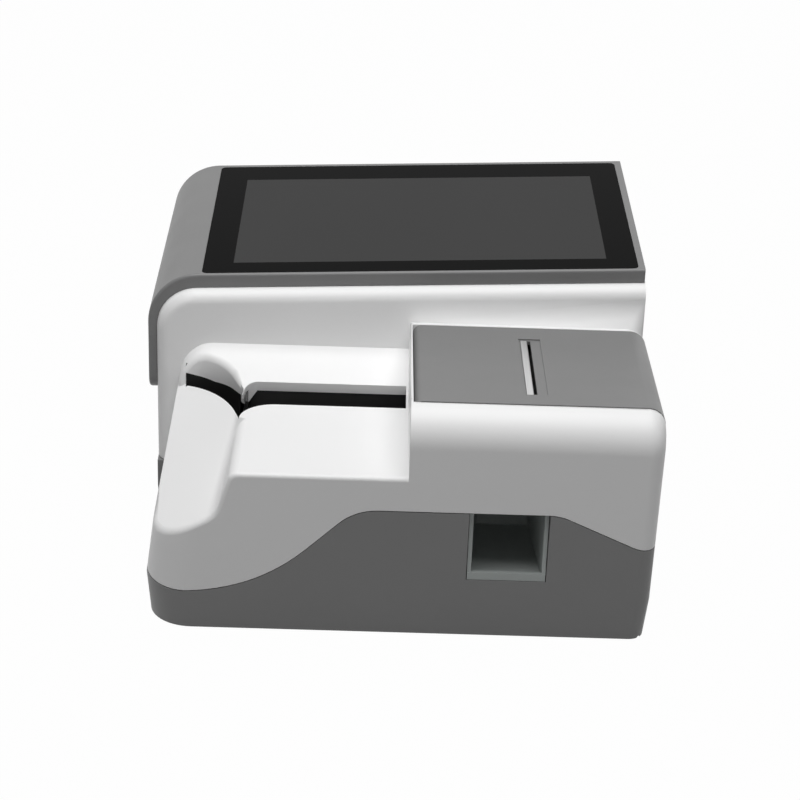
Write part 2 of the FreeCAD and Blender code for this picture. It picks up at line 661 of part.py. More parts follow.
def make_cover():
    """The grey screen cover: a sloping top with a side skirt and a short back skirt."""
    y = v.cover_front
    top = lambda x: cover_level(x, y) + v.cover_fit + v.cover_thick
    low = lambda x: cover_level(x, y) + v.cover_fit
    inner_left = cover_left + v.cover_skirt
    foot = v.cover_skirt_foot
    ends = [(cover_right, top(cover_right)), (cover_left, top(cover_left)), (cover_left, foot),
            (inner_left, foot), (inner_left, low(inner_left)), (cover_right, low(cover_right))]
    outer_round = v.rear_shoulder + 5.8
    depth = v.cover_back - y
    body = prism(in_xz(ends, y), [0, outer_round, 0, 0, v.rear_shoulder + 0.2, 0],
                 Vector(0, depth, depth * rise))
    skirt_back = v.body_back + 0.3
    ends = [(cover_right, top(cover_right) - 0.5), (cover_left + 0.5, top(cover_left) - 0.5),
            (cover_left + 0.5, foot + 30), (cover_right, foot + 40)]
    backing = prism(in_xz(ends, skirt_back), [0, outer_round, 0, 0], Vector(0, v.cover_back - skirt_back, 0))
    lift = (skirt_back - y) * rise
    backing.translate(Vector(0, 0, lift))
    body = body.fuse(backing)
    lower = [e for e in body.Edges if abs(middle_of(e).y - y) < 0.01 and abs(middle_of(e).z - foot) < 0.5]
    body = body.makeFillet(8, lower)
    outline_edges = []
    for edge in body.Edges:
        spot = middle_of(edge)
        over = top(spot.x) - spot.z
        on_top = abs(over) < 0.01 and spot.x > cover_left + outer_round / 2
        on_left = abs(spot.x - cover_left) < 0.01
        on_arc = edge.Curve.TypeId == "Part::GeomCircle" and edge.Curve.Radius > outer_round - 0.5
        if abs(spot.y - y) < 0.01 and spot.z > foot + 1 and (on_top or on_left or on_arc):
            outline_edges.append(edge)
    body = body.makeFillet(v.cover_edge_round, outline_edges)
    recess = v.glass_thick + v.cover_fit
    window = on_cover((-v.panel_length / 2 - 0.5, -v.panel_depth / 2 - 0.5),
                      (v.panel_length / 2 + 0.5, v.panel_depth / 2 + 0.5), [0] * 4, 0,
                      recess + v.panel_thick + 0.2, glass_centre)
    return body.cut([glass_plate(v.glass_fit, recess, 2.0), window])


moulded("base_shell", make_base())
moulded("upper_shell", make_upper())
moulded("screen_cover", make_cover())
moulded("touch_glass", glass_plate(0, v.glass_thick))
panel = on_cover((-v.panel_length / 2, -v.panel_depth / 2), (v.panel_length / 2, v.panel_depth / 2), [0] * 4,
                 -v.glass_thick - 0.1, v.panel_thick, glass_centre)
moulded("lcd_panel", panel)


# Printer under the lid


def make_lid():
    """The lid: a flat top that wraps the right side, with a rolled hinge edge at the left."""
    top = v.block_top
    under = top - v.wall
    right = v.half_width
    ends = [(lid_hinge_x, top), (right, top), (right, v.lid_foot), (right - v.wall, v.lid_foot),
            (right - v.wall, under), (lid_hinge_x, under)]
    length = v.lid_back - v.lid_front
    sheet_part = prism(in_xz(ends, v.lid_front), [0, v.block_side_round, 0, 0, v.block_side_round - v.wall, 0],
                       Vector(0, length, 0))
    along = Vector(0, 1, 0)
    edge = Part.makeCylinder(v.lid_roll, length, Vector(lid_hinge_x, v.lid_front, lid_hinge_z), along)
    shape = sheet_part.fuse(edge)
    hold = v.hinge_pin_hold + 0.2
    radius = v.hinge_pin_radius + v.running_fit
    bar = v.tear_bar_wide
    slot_left = v.slot_x - v.slot_wide / 2
    recess = [box_between((slot_left - bar - 1.0, v.slot_front - 1.5, top - 0.6),
                          (slot_left + v.slot_wide + 5.0, v.slot_back + 1.5, top + 1))]
    recess.append(box_between((slot_left - bar - 0.2, v.slot_front - 0.5, top - 1.3),
                              (slot_left + 0.01, v.slot_back + 0.5, top + 1)))
    recess.append(box_between((slot_left, v.slot_front, under - 5),
                              (slot_left + v.slot_wide, v.slot_back, top + 1)))
    for y in (v.lid_front - 0.01, v.lid_back - hold + 0.01):
        recess.append(Part.makeCylinder(radius, hold, Vector(lid_hinge_x, y, lid_hinge_z), along))
    return shape.cut(recess)


moulded("printer_lid", make_lid())
LID_LOW = "block_top - wall"
SLOT_LEFT = "slot_x - slot_wide / 2"
bar = block("tear_strip", (SLOT_LEFT + " - tear_bar_wide", SLOT_LEFT),
            ("slot_front - 0.3", "slot_back + 0.3"),
            ("block_top - 1.3", "block_top - 1.3 + tear_bar_thick"))
keep(bar, "tear_bar")
AXIS_X = "lid_left + lid_roll"
AXIS_Z = "block_top - lid_roll"
PIN = "2.4 + lid_gap + hinge_pin_hold"
pins = fuse("pins", [
    rod("pin_front", "y", "hinge_pin_radius", (AXIS_X, "lid_front - lid_gap - 2.4", AXIS_Z), PIN),
    rod("pin_back", "y", "hinge_pin_radius", (AXIS_X, "lid_back - hinge_pin_hold", AXIS_Z), PIN),
])
keep(pins, "lid_hinge_pins")

FLANGE_TOP = "block_top - wall - 0.4"
FLANGE_LOW = FLANGE_TOP + " - flange_thick"
WELL = ("well_left", "well_right")
WELL_Y = ("lid_front + 7.2", "lid_back - 7.6")
flange = block("flange_sheet", ("lid_left + lid_roll * 2 + 1", "half_width - block_side_round + 1.5"),
               ("lid_front + 4.6", "block_flat_back"), (FLANGE_LOW, FLANGE_TOP))
well = block("well_body", WELL, WELL_Y, ("well_floor", FLANGE_LOW))
hollow = block("well_hollow", ("well_left + well_wall", "well_right - well_wall"),
               ("lid_front + 7.2 + well_wall", "lid_back - 7.6 - well_wall"),
               ("well_floor + well_wall", "block_top + 5"))
PLATEN_X = "slot_x + 5.4"
PLATEN_Z = "block_top - wall - 0.4 - platen_radius - 2.4"
journals = rod("journal_bore", "y", "platen_shaft + running_fit", (PLATEN_X, "lid_front", PLATEN_Z),
               "lid_back - lid_front")
frame = cut("frame_cut", fuse("frame_solid", [flange, well]), [hollow, journals])
keep(frame, "printer_chassis")

ROLL_Z = "well_floor + well_wall + 0.1 + roll_radius"
ROLL_Y = "(lid_front + lid_back - roll_length) / 2"
roll = cut("roll_cut", rod("roll_outer", "y", "roll_radius", ("roll_x", ROLL_Y, ROLL_Z), "roll_length"),
           [rod("roll_hole", "y", "roll_core", ("roll_x", ROLL_Y + " - 1", ROLL_Z), "roll_length + 2")])
keep(roll, "paper_roll")

head = fuse("head_solid", [
    block("head_plate", (SLOT_LEFT + " - 4.2", SLOT_LEFT + " - 1.2"),
          ("slot_front", "slot_back"), ("well_floor + well_wall", PLATEN_Z + " + 4")),
    block("head_foot", (SLOT_LEFT + " - 10", SLOT_LEFT + " - 4.2"),
          ("slot_front", "slot_back"), ("well_floor + well_wall", "well_floor + well_wall + 2")),
])
keep(head, "thermal_head")

platen = fuse("platen_solid", [
    rod("platen_rubber", "y", "platen_radius",
        (PLATEN_X, "lid_front + 9.7 + well_wall", PLATEN_Z), "lid_back - lid_front - 19.8 - 2 * well_wall"),
    rod("platen_steel", "y", "platen_shaft", (PLATEN_X, "lid_front + 6.8", PLATEN_Z), "lid_back - lid_front - 14"),
])
keep(platen, "platen_roller")


# Strip bin


def make_bin():
    """The strip bin: a tapered tray open at the top, with a low front lip to pull it by."""
    left = v.bin_left + v.bin_fit
    right = v.bin_right - v.bin_fit
    front = front_y(v.bin_foot) + 0.4
    low = v.bin_foot + 0.2
    back = front + v.bin_depth

    def plan(inset, z):
        ends = [(left + inset, front + (inset and -5)), (right - inset, front + (inset and -5)),
                (right - inset - v.bin_taper, back - inset), (left + inset + v.bin_taper, back - inset)]
        return in_xy(ends, z)

    lean = prism(in_yz([(front_y(0) + 0.4, 0), (front_y(90) + 0.4, 90), (90, 90), (90, 0)], 0), [0] * 4,
                 Vector(100, 0, 0))
    outer = prism(plan(0, low), [0, 0, 3, 3], Vector(0, 0, v.bin_top - low - 0.5))
    inner = prism(plan(v.bin_wall, low + v.bin_wall), [0, 0, 1.5, 1.5], Vector(0, 0, 80))
    lip = box_between((left, front - 2, low), (right, front + v.bin_wall + 0.4, low + v.bin_wall + 2.5))
    return outer.cut(inner).fuse(lip).common(lean)


moulded("strip_bin", make_bin())


# Strip transport under the trench

CHANNEL_TOP = "channel_floor + channel_thick"
FRONT_WALL = ("trench_front - 2.3", "trench_front - 0.7")
BACK_WALL = ("trench_back + 0.7", "trench_back + 2.3")
TRAY_MID = "(trench_front + trench_back) / 2"
channel_floor = block("channel_sheet", ("deck_left + 3", "channel_right"), (FRONT_WALL[0], BACK_WALL[1]),
                      ("channel_floor", CHANNEL_TOP))
front_side = block("channel_front", ("deck_left + deck_corner + 1", "channel_right"), FRONT_WALL,
                   ("channel_floor", "deck_top - wall - 0.2"))
back_side = block("channel_back", ("deck_left + 3", "channel_right"), BACK_WALL,
                  ("channel_floor", "rear_deck_top - trench_flange - 0.2"))
LUG_X = "tray_left + lug_from_left"
lug_slot = block("lug_slot", (LUG_X + " - 1", LUG_X + " + lug_length + tray_travel + 1"),
                 (TRAY_MID + " - lug_width / 2 - 0.5", TRAY_MID + " + lug_width / 2 + 0.5"),
                 ("channel_floor - 1", CHANNEL_TOP + " + 1"))
channel = cut("channel_cut", fuse("channel_solid", [channel_floor, front_side, back_side]), [lug_slot])
keep(channel, "strip_channel")


def make_guard():
    """The dark guard behind the mouth, following the scoop's rear wall."""
    low = v.channel_floor
    left = v.deck_left
    ring = scoop_plan(5.6, low, 98).cut(scoop_plan(4.3, low - 5, 110))
    plate = scoop_plan(5.6, low, low + 1.2)
    front = v.trench_front + 2.5
    reach = box_between((v.scoop_end - 6, front, low), (left - 2.0, 125, 98))
    reach = reach.fuse(box_between((left - 3.0, front, low), (left + 2.7, v.bracket_y - 0.4, 98)))
    return ring.fuse(plate).common(reach).common(housing_form(v.wall + 0.3))


moulded("mouth_guard", make_guard())

TRAY_LOW = CHANNEL_TOP + " + tray_lift"
tray_body = block("tray_body", ("tray_left", "tray_left + tray_length"),
                  (TRAY_MID + " - tray_width / 2", TRAY_MID + " + tray_width / 2"),
                  (TRAY_LOW, TRAY_LOW + " + tray_height"))
tray_groove = block("tray_groove", ("tray_left + 4", "tray_left + tray_length + 1"),
                    (TRAY_MID + " - 3", TRAY_MID + " + 3"),
                    (TRAY_LOW + " + tray_height - 1.5", TRAY_LOW + " + tray_height + 1"))
BELT_TOP = "pulley_z + pulley_radius + running_fit + belt_thick"
lug = block("tray_lug", (LUG_X, LUG_X + " + lug_length"),
            (TRAY_MID + " - lug_width / 2", TRAY_MID + " + lug_width / 2"),
            (BELT_TOP + " + 0.2", TRAY_LOW + " + 1"))
tray = fuse("tray_solid", [cut("tray_cut", tray_body, [tray_groove]), lug])
keep(tray, "strip_tray")

BELT_Y = TRAY_MID + " - belt_width / 2"
BELT_IN = "pulley_radius + running_fit"


def racetrack(name, radius, start, wide):
    """A straight-sided loop round both pulleys, as a solid."""
    return fuse(name, [
        rod(name + "_left", "y", radius, ("drive_x", start, "pulley_z"), wide),
        rod(name + "_right", "y", radius, ("idler_x", start, "pulley_z"), wide),
        block(name + "_run", ("drive_x", "idler_x"), (start, start + " + " + wide),
              ("pulley_z - (%s)" % radius, "pulley_z + (%s)" % radius)),
    ])


belt = cut("belt_cut", racetrack("belt_outer", BELT_IN + " + belt_thick", BELT_Y, "belt_width"),
           [racetrack("belt_inner", BELT_IN, BELT_Y + " - 1", "belt_width + 2")])
keep(belt, "timing_belt")


def origin_plane(body, role):
    return [f for f in body.Origin.OriginFeatures if f.Role == role][0]


def sketch_on(body, name, role, lift):
    """A new sketch on one of the body's own planes, lifted along the plane's normal."""
    drawing = body.newObject("Sketcher::SketchObject", name)
    drawing.AttachmentSupport = (origin_plane(body, role), [""])
    drawing.MapMode = "FlatFace"
    drawing.setExpression("AttachmentOffset.Base.z", bound(lift))
    return drawing


def draw_outline(drawing, corners):
    """A closed outline whose corners lie at bound distances from the sketch's origin."""
    count = len(corners)
    spots = [Vector(10 * math.cos(2 * math.pi * i / count), 10 * math.sin(2 * math.pi * i / count), 0)
             for i in range(count)]
    drawing.addGeometry([Part.LineSegment(spots[i], spots[(i + 1) % count]) for i in range(count)], False)
    for i in range(count):
        drawing.addConstraint(Sketcher.Constraint("Coincident", i, 2, (i + 1) % count, 1))
    for i, pair in enumerate(corners):
        for kind, axis, text in (("DistanceX", -2, pair[0]), ("DistanceY", -1, pair[1])):
            if text == "0":
                drawing.addConstraint(Sketcher.Constraint("PointOnObject", i, 1, axis))
            else:
                number = drawing.addConstraint(Sketcher.Constraint(kind, -1, 1, i, 1, 1.0))
                drawing.setExpression("Constraints[%d]" % number, bound(text))


def draw_circle(drawing, x, y, radius):
    number = drawing.addGeometry(Part.Circle(Vector(0, 0, 0), Vector(0, 0, 1), 1.0), False)
    for kind, axis, text in (("DistanceX", -2, x), ("DistanceY", -1, y)):
        if text == "0":
            drawing.addConstraint(Sketcher.Constraint("PointOnObject", number, 3, axis))
        else:
            rule = drawing.addConstraint(Sketcher.Constraint(kind, -1, 1, number, 3, 1.0))
            drawing.setExpression("Constraints[%d]" % rule, bound(text))
    rule = drawing.addConstraint(Sketcher.Constraint("Radius", number, 1.0))
    drawing.setExpression("Constraints[%d]" % rule, bound(radius))


def padded(name, role, corners, lift, length):
    """A body whose first feature is a pad of an outline."""
    body = doc.addObject("PartDesign::Body", name)
    drawing = sketch_on(body, name + "_outline", role, lift)
    draw_outline(drawing, corners)
    pad = body.newObject("PartDesign::Pad", name + "_pad")
    pad.Profile = drawing
    pad.setExpression("Length", bound(length))
    return body


def pocketed(body, name, role, circles, lift, depth):
    """Round pockets cut into a body from one of its planes, along the plane's normal."""
    drawing = sketch_on(body, name + "_circles", role, lift)
    for x, y, radius in circles:
        draw_circle(drawing, x, y, radius)
    pocket = body.newObject("PartDesign::Pocket", name)
    pocket.Profile = drawing
    pocket.Reversed = True
    pocket.setExpression("Length", bound(depth))
    return pocket


def place(body, x, y, z):
    for axis, text in (("x", x), ("y", y), ("z", z)):
        body.setExpression("Placement.Base." + axis, bound(text))


def turned(name, corners):
    """A body turned about its own y axis from half of its section."""
    body = doc.addObject("PartDesign::Body", name)
    drawing = sketch_on(body, name + "_section", "YZ_Plane", "0")
    draw_outline(drawing, corners)
    turn = body.newObject("PartDesign::Revolution", name + "_turn")
    turn.Profile = drawing
    turn.ReferenceAxis = (drawing, ["H_Axis"])
    turn.Angle = 360.0
    return body


HALF = "pulley_width / 2"
FLANGED = [("-" + HALF + " - 1", "pulley_radius + 1"), ("-" + HALF, "pulley_radius + 1"),
           ("-" + HALF, "pulley_radius"), (HALF, "pulley_radius"),
           (HALF, "pulley_radius + 1"), (HALF + " + 1", "pulley_radius + 1")]
SHAFT_END = "bracket_y + bracket_thick + 6 - (%s)" % TRAY_MID
drive = turned("drive_pulley", [("-" + HALF + " - 1", "0")] + FLANGED +
               [(HALF + " + 1", "shaft_radius"), (SHAFT_END, "shaft_radius"), (SHAFT_END, "0")])
place(drive, "drive_x", TRAY_MID, "pulley_z")
keep(drive, "drive_pulley")
IDLER_BORE = "axle_radius + running_fit"
idler = turned("idler_pulley", [("-" + HALF + " - 1", IDLER_BORE)] + FLANGED + [(HALF + " + 1", IDLER_BORE)])
place(idler, "idler_x", TRAY_MID, "pulley_z")
keep(idler, "idler_pulley")

FLOOR_TOP = "foot_stand + floor"
BRACKET_TALL = "pulley_z - (%s) + motor_side / 2" % FLOOR_TOP


def angle_bracket(node, x, wide, hole):
    """An upright sheet bracket with a foot, and a hole for what it carries."""
    section = [("0", "0"), ("bracket_thick + 16", "0"), ("bracket_thick + 16", "bracket_thick"),
               ("bracket_thick", "bracket_thick"), ("bracket_thick", BRACKET_TALL), ("0", BRACKET_TALL)]
    body = padded(node, "YZ_Plane", section, "-(%s) / 2" % wide, wide)
    pocketed(body, node + "_bore", "XZ_Plane", [("0", "pulley_z - (%s)" % FLOOR_TOP, hole)],
             "-bracket_thick - 1", "bracket_thick + 2")
    place(body, x, "bracket_y", FLOOR_TOP)
    return keep(body, node)


angle_bracket("drive_bracket", "drive_x", "motor_side + 6", "motor_side * 0.31")
angle_bracket("idler_bracket", "idler_x", "18", "axle_radius")
axle = rod("axle", "y", "axle_radius", ("idler_x", TRAY_MID + " - pulley_width / 2 - 3", "pulley_z"),
           "bracket_y + bracket_thick - (%s) + pulley_width / 2 + 3" % TRAY_MID)
keep(axle, "idler_axle")

MOTOR_Y = "bracket_y + bracket_thick"
motor = cut("motor_cut", fuse("motor_solid", [
    block("motor_body", ("drive_x - motor_side / 2", "drive_x + motor_side / 2"),
          (MOTOR_Y, MOTOR_Y + " + motor_length"),
          ("pulley_z - motor_side / 2", "pulley_z + motor_side / 2")),
    rod("motor_pilot", "y", "motor_side * 0.31 - 0.1", ("drive_x", "bracket_y", "pulley_z"),
        "bracket_thick + 1"),
]), [rod("motor_bore", "y", "shaft_radius + running_fit", ("drive_x", "bracket_y - 1", "pulley_z"),
         "bracket_thick + 8")])
keep(motor, "stepper_motor")

HEAD_LOW = "rear_deck_top - trench_flange"
optical = fuse("optical_solid", [
    block("optical_body", ("head_left", "head_left + head_length"), (FRONT_WALL[0], BACK_WALL[1]),
          (HEAD_LOW, HEAD_LOW + " + head_height")),
    block("optical_leg", ("head_left", "head_left + head_length"), FRONT_WALL,
          ("deck_top - wall", HEAD_LOW)),
])
keep(optical, "optical_head")

# Main board on its standoffs

BOARD_Z = FLOOR_TOP + " + standoff"
board = padded("main_board", "XY_Plane",
               [("0", "0"), ("board_length", "0"), ("board_length", "board_depth"), ("0", "board_depth")],
               "0", "board_thick")
pocketed(board, "board_holes", "XY_Plane",
         [(x, y, "1.5") for x in ("5", "board_length - 5") for y in ("5", "board_depth - 5")],
         "-1", "board_thick + 2")
place(board, "board_left", "board_front", BOARD_Z)
keep(board, "main_board")
CHIP_Z = (BOARD_Z + " + board_thick", BOARD_Z + " + board_thick + 2")
CAP_Z = (BOARD_Z + " + board_thick", BOARD_Z + " + board_thick + 9")
chips = fuse("chips", [
    block("chip_a", ("board_left + 40", "board_left + 58"), ("board_front + 40", "board_front + 58"), CHIP_Z),
    block("chip_b", ("board_left + 72", "board_left + 84"), ("board_front + 44", "board_front + 56"), CHIP_Z),
    block("header_a", ("board_left + 20", "board_left + 48"), ("board_front + 4", "board_front + 9"), CAP_Z),
    block("header_b", ("board_left + 62", "board_left + 90"), ("board_front + 4", "board_front + 9"), CAP_Z),
])
keep(chips, "board_parts")

# Sockets and switch in the back wall

BACK = "body_back"
LOW = "port_z"


def socket(name, x, wide, high, deep, rim):
    """A rectangular socket let into the back wall: a box with an open mouth."""
    outer = block(name + "_outer", ("%s - %s / 2" % (x, wide), "%s + %s / 2" % (x, wide)),
                  (BACK + " - bevel_in - " + deep, BACK + " - bevel_in + 0.4"),
                  ("%s - %s / 2" % (LOW, high), "%s + %s / 2" % (LOW, high)))
    hole = block(name + "_mouth",
                 ("%s - %s / 2 + %s" % (x, wide, rim), "%s + %s / 2 - %s" % (x, wide, rim)),
                 (BACK + " - bevel_in - " + deep + " + 1.5", BACK + " + 2"),
                 ("%s - %s / 2 + %s" % (LOW, high, rim), "%s + %s / 2 - %s" % (LOW, high, rim)))
    return cut(name + "_cut", outer, [hole])


inlet_shell = socket("inlet", "inlet_x", "27", "20", "16", "2")
blades = [block("blade_%d" % i, ("inlet_x + (%s) - 1" % side, "inlet_x + (%s) + 1" % side),
                (BACK + " - bevel_in - 14.5", BACK + " - bevel_in - 3"),
                ("port_z + (%s) - 2" % up, "port_z + (%s) + 2" % up))
          for i, (side, up) in enumerate((("-7", "-1"), ("0", "2"), ("7", "-1")))]
keep(inlet_shell, "power_inlet")
keep(fuse("blades", blades), "inlet_blades")
keep(socket("usb", "usb_x", "14", "7", "12", "0.6"), "usb_port")
keep(socket("lan", "lan_x", "16", "13.4", "14", "1.2"), "network_port")
keep(socket("switch", "switch_x", "13.8", "21.2", "12", "1.4"), "power_switch")


def make_rocker():
    """The switch's rocker: a shallow vee-topped key that tips about its middle."""
    half = 21.2 / 2 - 1.4 - 0.9
    wide = 13.8 - 2 * 1.4 - 0.6
    y = v.body_back - v.bevel_in
    ends = [(y - 7, v.port_z - 3), (y - 2.4, v.port_z - half), (y + 0.8, v.port_z - half), (y - 0.6, v.port_z),
            (y + 0.8, v.port_z + half), (y - 2.4, v.port_z + half), (y - 7, v.port_z + 3)]
    return prism(in_yz(ends, v.switch_x - wide / 2), [0] * 7, Vector(wide, 0, 0))


moulded("power_rocker", make_rocker())

# Feet and screws

FOOT_X = "(half_width - foot_in_x)"
feet = []
for i, side in enumerate(("-", "")):
    for j, y in enumerate(("foot_in_y", "body_back - foot_in_y")):
        feet.append(rod("foot_%d%d" % (i, j), "z", "foot_radius", (side + FOOT_X, y, "0"),
                        "foot_stand + foot_sunk"))
keep(fuse("feet_all", feet), "rubber_feet")
POSTS = [("-half_width + 26", "38"), ("half_width - 6.5", "11.5"),
         ("-half_width + 12", "body_back - 56"), ("half_width - 12", "body_back - 56")]
screws = []
for i, (x, y) in enumerate(POSTS):
    screws.append(rod("screw_head_%d" % i, "z", "screw_head", (x, y, "foot_stand + 0.4"), "2.2"))
    screws.append(rod("screw_shank_%d" % i, "z", "screw_radius", (x, y, "foot_stand + 0.4"), "screw_length"))
keep(fuse("screws_all", screws), "case_screws")

doc.recompute()
failed = [item.Label for item in doc.Objects if "Invalid" in item.State or "Error" in item.State]
if failed:
    raise RuntimeError("these objects failed: " + ", ".join(failed))
for item in NODES:
    if item.Shape.isNull() or not item.Shape.isValid():
        raise RuntimeError("not a valid shape: " + item.Label)
os.makedirs("parts", exist_ok=True)
for item in NODES:
    item.Shape.exportStep("parts/%s.step" % item.Label)
print(len(NODES), "pieces written")
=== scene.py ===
# %% [markdown]
# # A bench-top strip analyser, dressed for the camera
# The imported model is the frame: its solids have the true size and place, and they move on
# their joints. This script gives each surface its finish, adds the small pieces that are
# too fine for the frame, and sets the light and the camera.

# %% Load the frame
import bpy
import bmesh
import json
import math
from mathutils import Matrix, Vector


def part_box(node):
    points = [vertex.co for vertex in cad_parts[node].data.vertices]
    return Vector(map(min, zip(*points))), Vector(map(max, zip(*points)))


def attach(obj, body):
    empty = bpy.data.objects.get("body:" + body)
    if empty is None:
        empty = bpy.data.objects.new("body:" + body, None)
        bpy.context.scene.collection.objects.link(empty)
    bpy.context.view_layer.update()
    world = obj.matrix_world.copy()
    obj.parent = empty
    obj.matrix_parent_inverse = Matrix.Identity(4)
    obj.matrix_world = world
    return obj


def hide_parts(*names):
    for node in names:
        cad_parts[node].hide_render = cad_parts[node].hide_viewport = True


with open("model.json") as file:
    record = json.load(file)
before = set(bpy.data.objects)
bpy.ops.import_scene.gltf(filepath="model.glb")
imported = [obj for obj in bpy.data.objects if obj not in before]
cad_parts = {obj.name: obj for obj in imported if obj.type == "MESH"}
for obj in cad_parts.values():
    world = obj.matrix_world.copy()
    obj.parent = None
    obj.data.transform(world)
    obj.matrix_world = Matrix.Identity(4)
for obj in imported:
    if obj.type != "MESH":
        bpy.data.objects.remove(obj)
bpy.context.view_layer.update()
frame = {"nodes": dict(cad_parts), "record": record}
nodes = frame["nodes"]

# %% [markdown]
# ## The camera
# The photograph was taken from a little more than a metre away with a long lens, looking
# down at about 25 degrees, with the camera rolled by two degrees. The values below came
# from fitting the straight edges of the screen, the block and the base. They are in metres
# and degrees, and the lens is for a square picture on a 36 mm sensor.

# %% Set the camera
CAMERA_PLACE = Vector((-0.011995, -1.062035, 0.554250))
CAMERA_YAW = math.radians(0.88195)
CAMERA_PITCH = math.radians(24.5288)
CAMERA_ROLL = math.radians(2.11576)
CAMERA_LENS = 96.86

ahead = Vector((math.sin(CAMERA_YAW) * math.cos(CAMERA_PITCH),
                math.cos(CAMERA_YAW) * math.cos(CAMERA_PITCH), -math.sin(CAMERA_PITCH)))
level = Vector((math.cos(CAMERA_YAW), -math.sin(CAMERA_YAW), 0.0))
upward = level.cross(ahead)
right = math.cos(CAMERA_ROLL) * level + math.sin(CAMERA_ROLL) * upward
upward = right.cross(ahead)
camera_data = bpy.data.cameras.new("camera")
camera_data.lens = CAMERA_LENS
camera_data.sensor_width = 36.0
camera_data.clip_end = 50.0
camera = bpy.data.objects.new("camera", camera_data)
bpy.context.scene.collection.objects.link(camera)
camera.matrix_world = Matrix((
    (right.x, upward.x, -ahead.x, CAMERA_PLACE.x),
    (right.y, upward.y, -ahead.y, CAMERA_PLACE.y),
    (right.z, upward.z, -ahead.z, CAMERA_PLACE.z),
    (0, 0, 0, 1)))
bpy.context.scene.camera = camera
bpy.context.scene.view_settings.view_transform = "Standard"
print("camera at", [round(c, 3) for c in camera.matrix_world.translation])

# %% [markdown]
# ## Shader maths as plain expressions
# A material's look is easier to read as a formula than as a web of nodes. The class below
# wraps one socket of a node tree, so that a sum or a product in Python adds the Math node
# that does it.

# %% A socket that understands arithmetic
class Field:
    """One number or colour that varies over a surface, as a socket of a node tree."""

    def __init__(self, tree, socket):
        self.tree = tree
        self.socket = socket

    def node(self, kind, inputs=None, output=0, **settings):
        made = self.tree.nodes.new(kind)
        for name, value in settings.items():
            setattr(made, name, value)
        for key, value in (inputs or {}).items():
            if isinstance(value, Field):
                self.tree.links.new(value.socket, made.inputs[key])
            else:
                made.inputs[key].default_value = value
        return Field(self.tree, made.outputs[output])

    def math(self, operation, *others):
        inputs = {0: self}
        for number, other in enumerate(others, start=1):
            inputs[number] = other
        return self.node("ShaderNodeMath", inputs, operation=operation)

    def __add__(self, other):
        return self.math("ADD", other)

    __radd__ = __add__

    def __mul__(self, other):
        return self.math("MULTIPLY", other)

    __rmul__ = __mul__

    def __sub__(self, other):
        return self.math("SUBTRACT", other)

    def __rsub__(self, other):
        return (self * -1.0) + other

    def between(self, low, high):
        """0 below low, 1 above high, and a smooth step in between."""
        return self.node("ShaderNodeMapRange", {"Value": self, "From Min": low, "From Max": high},
                         interpolation_type="SMOOTHSTEP")

    def blend(self, low, high):
        """The first colour where this field is 0 and the second where it is 1."""
        made = self.tree.nodes.new("ShaderNodeMix")
        made.data_type = "RGBA"
        for name, kind, value in (("Factor", "VALUE", self), ("A", "RGBA", low), ("B", "RGBA", high)):
            socket = [s for s in made.inputs if s.name == name and s.type == kind][0]
            if isinstance(value, Field):
                self.tree.links.new(value.socket, socket)
            else:
                socket.default_value = value
        return Field(self.tree, [s for s in made.outputs if s.type == "RGBA"][0])


def grey(level):
    """A neutral colour from a display level between 0 and 255."""
    share = level / 255.0
    linear = share / 12.92 if share < 0.04045 else ((share + 0.055) / 1.055) ** 2.4
    return (linear, linear, linear, 1.0)


class Finish:
    """A material under construction: its tree, its main shader and the object coordinates."""

    def __init__(self, name, colour, roughness, metallic=0.0):
        self.material = bpy.data.materials.new(name)
        self.material.use_nodes = True
        self.tree = self.material.node_tree
        self.shader = self.tree.nodes["Principled BSDF"]
        self.shader.inputs["Base Color"].default_value = colour
        self.shader.inputs["Roughness"].default_value = roughness
        self.shader.inputs["Metallic"].default_value = metallic
        coordinates = self.tree.nodes.new("ShaderNodeTexCoord")
        self.place = Field(self.tree, coordinates.outputs["Object"])

    def noise(self, scale, detail=3.0, roughness=0.5, stretch=(1, 1, 1)):
        spread = self.place.node("ShaderNodeMapping", {"Vector": self.place, "Scale": stretch})
        return spread.node("ShaderNodeTexNoise", {
            "Vector": spread, "Scale": scale, "Detail": detail, "Roughness": roughness})

    def along(self, axis):
        """The coordinate along one of the object's axes, in metres."""
        axes = self.place.node("ShaderNodeSeparateXYZ", {0: self.place})
        return Field(self.tree, axes.socket.node.outputs[axis])

    def feed(self, socket, field):
        self.tree.links.new(field.socket, self.shader.inputs[socket])

    def relief(self, height, depth):
        """Fine relief of a given depth in metres, through a Bump node."""
        bump = height.node("ShaderNodeBump", {"Height": height, "Distance": depth, "Strength": 1.0})
        self.feed("Normal", bump)


print("grey 128 is", round(grey(128)[0], 3))

# %% [markdown]
# ## Floor and backdrop
# The photograph shows the analyser on pure white. More light would burn out the white
# housing as well, so the light stays plain and the floor is shown white instead: where a
# camera ray or a mirrored ray meets it, an Emission shader of strength 1 is mixed in. The
# rest of the mix is the floor's own surface, which is what keeps a soft shadow.

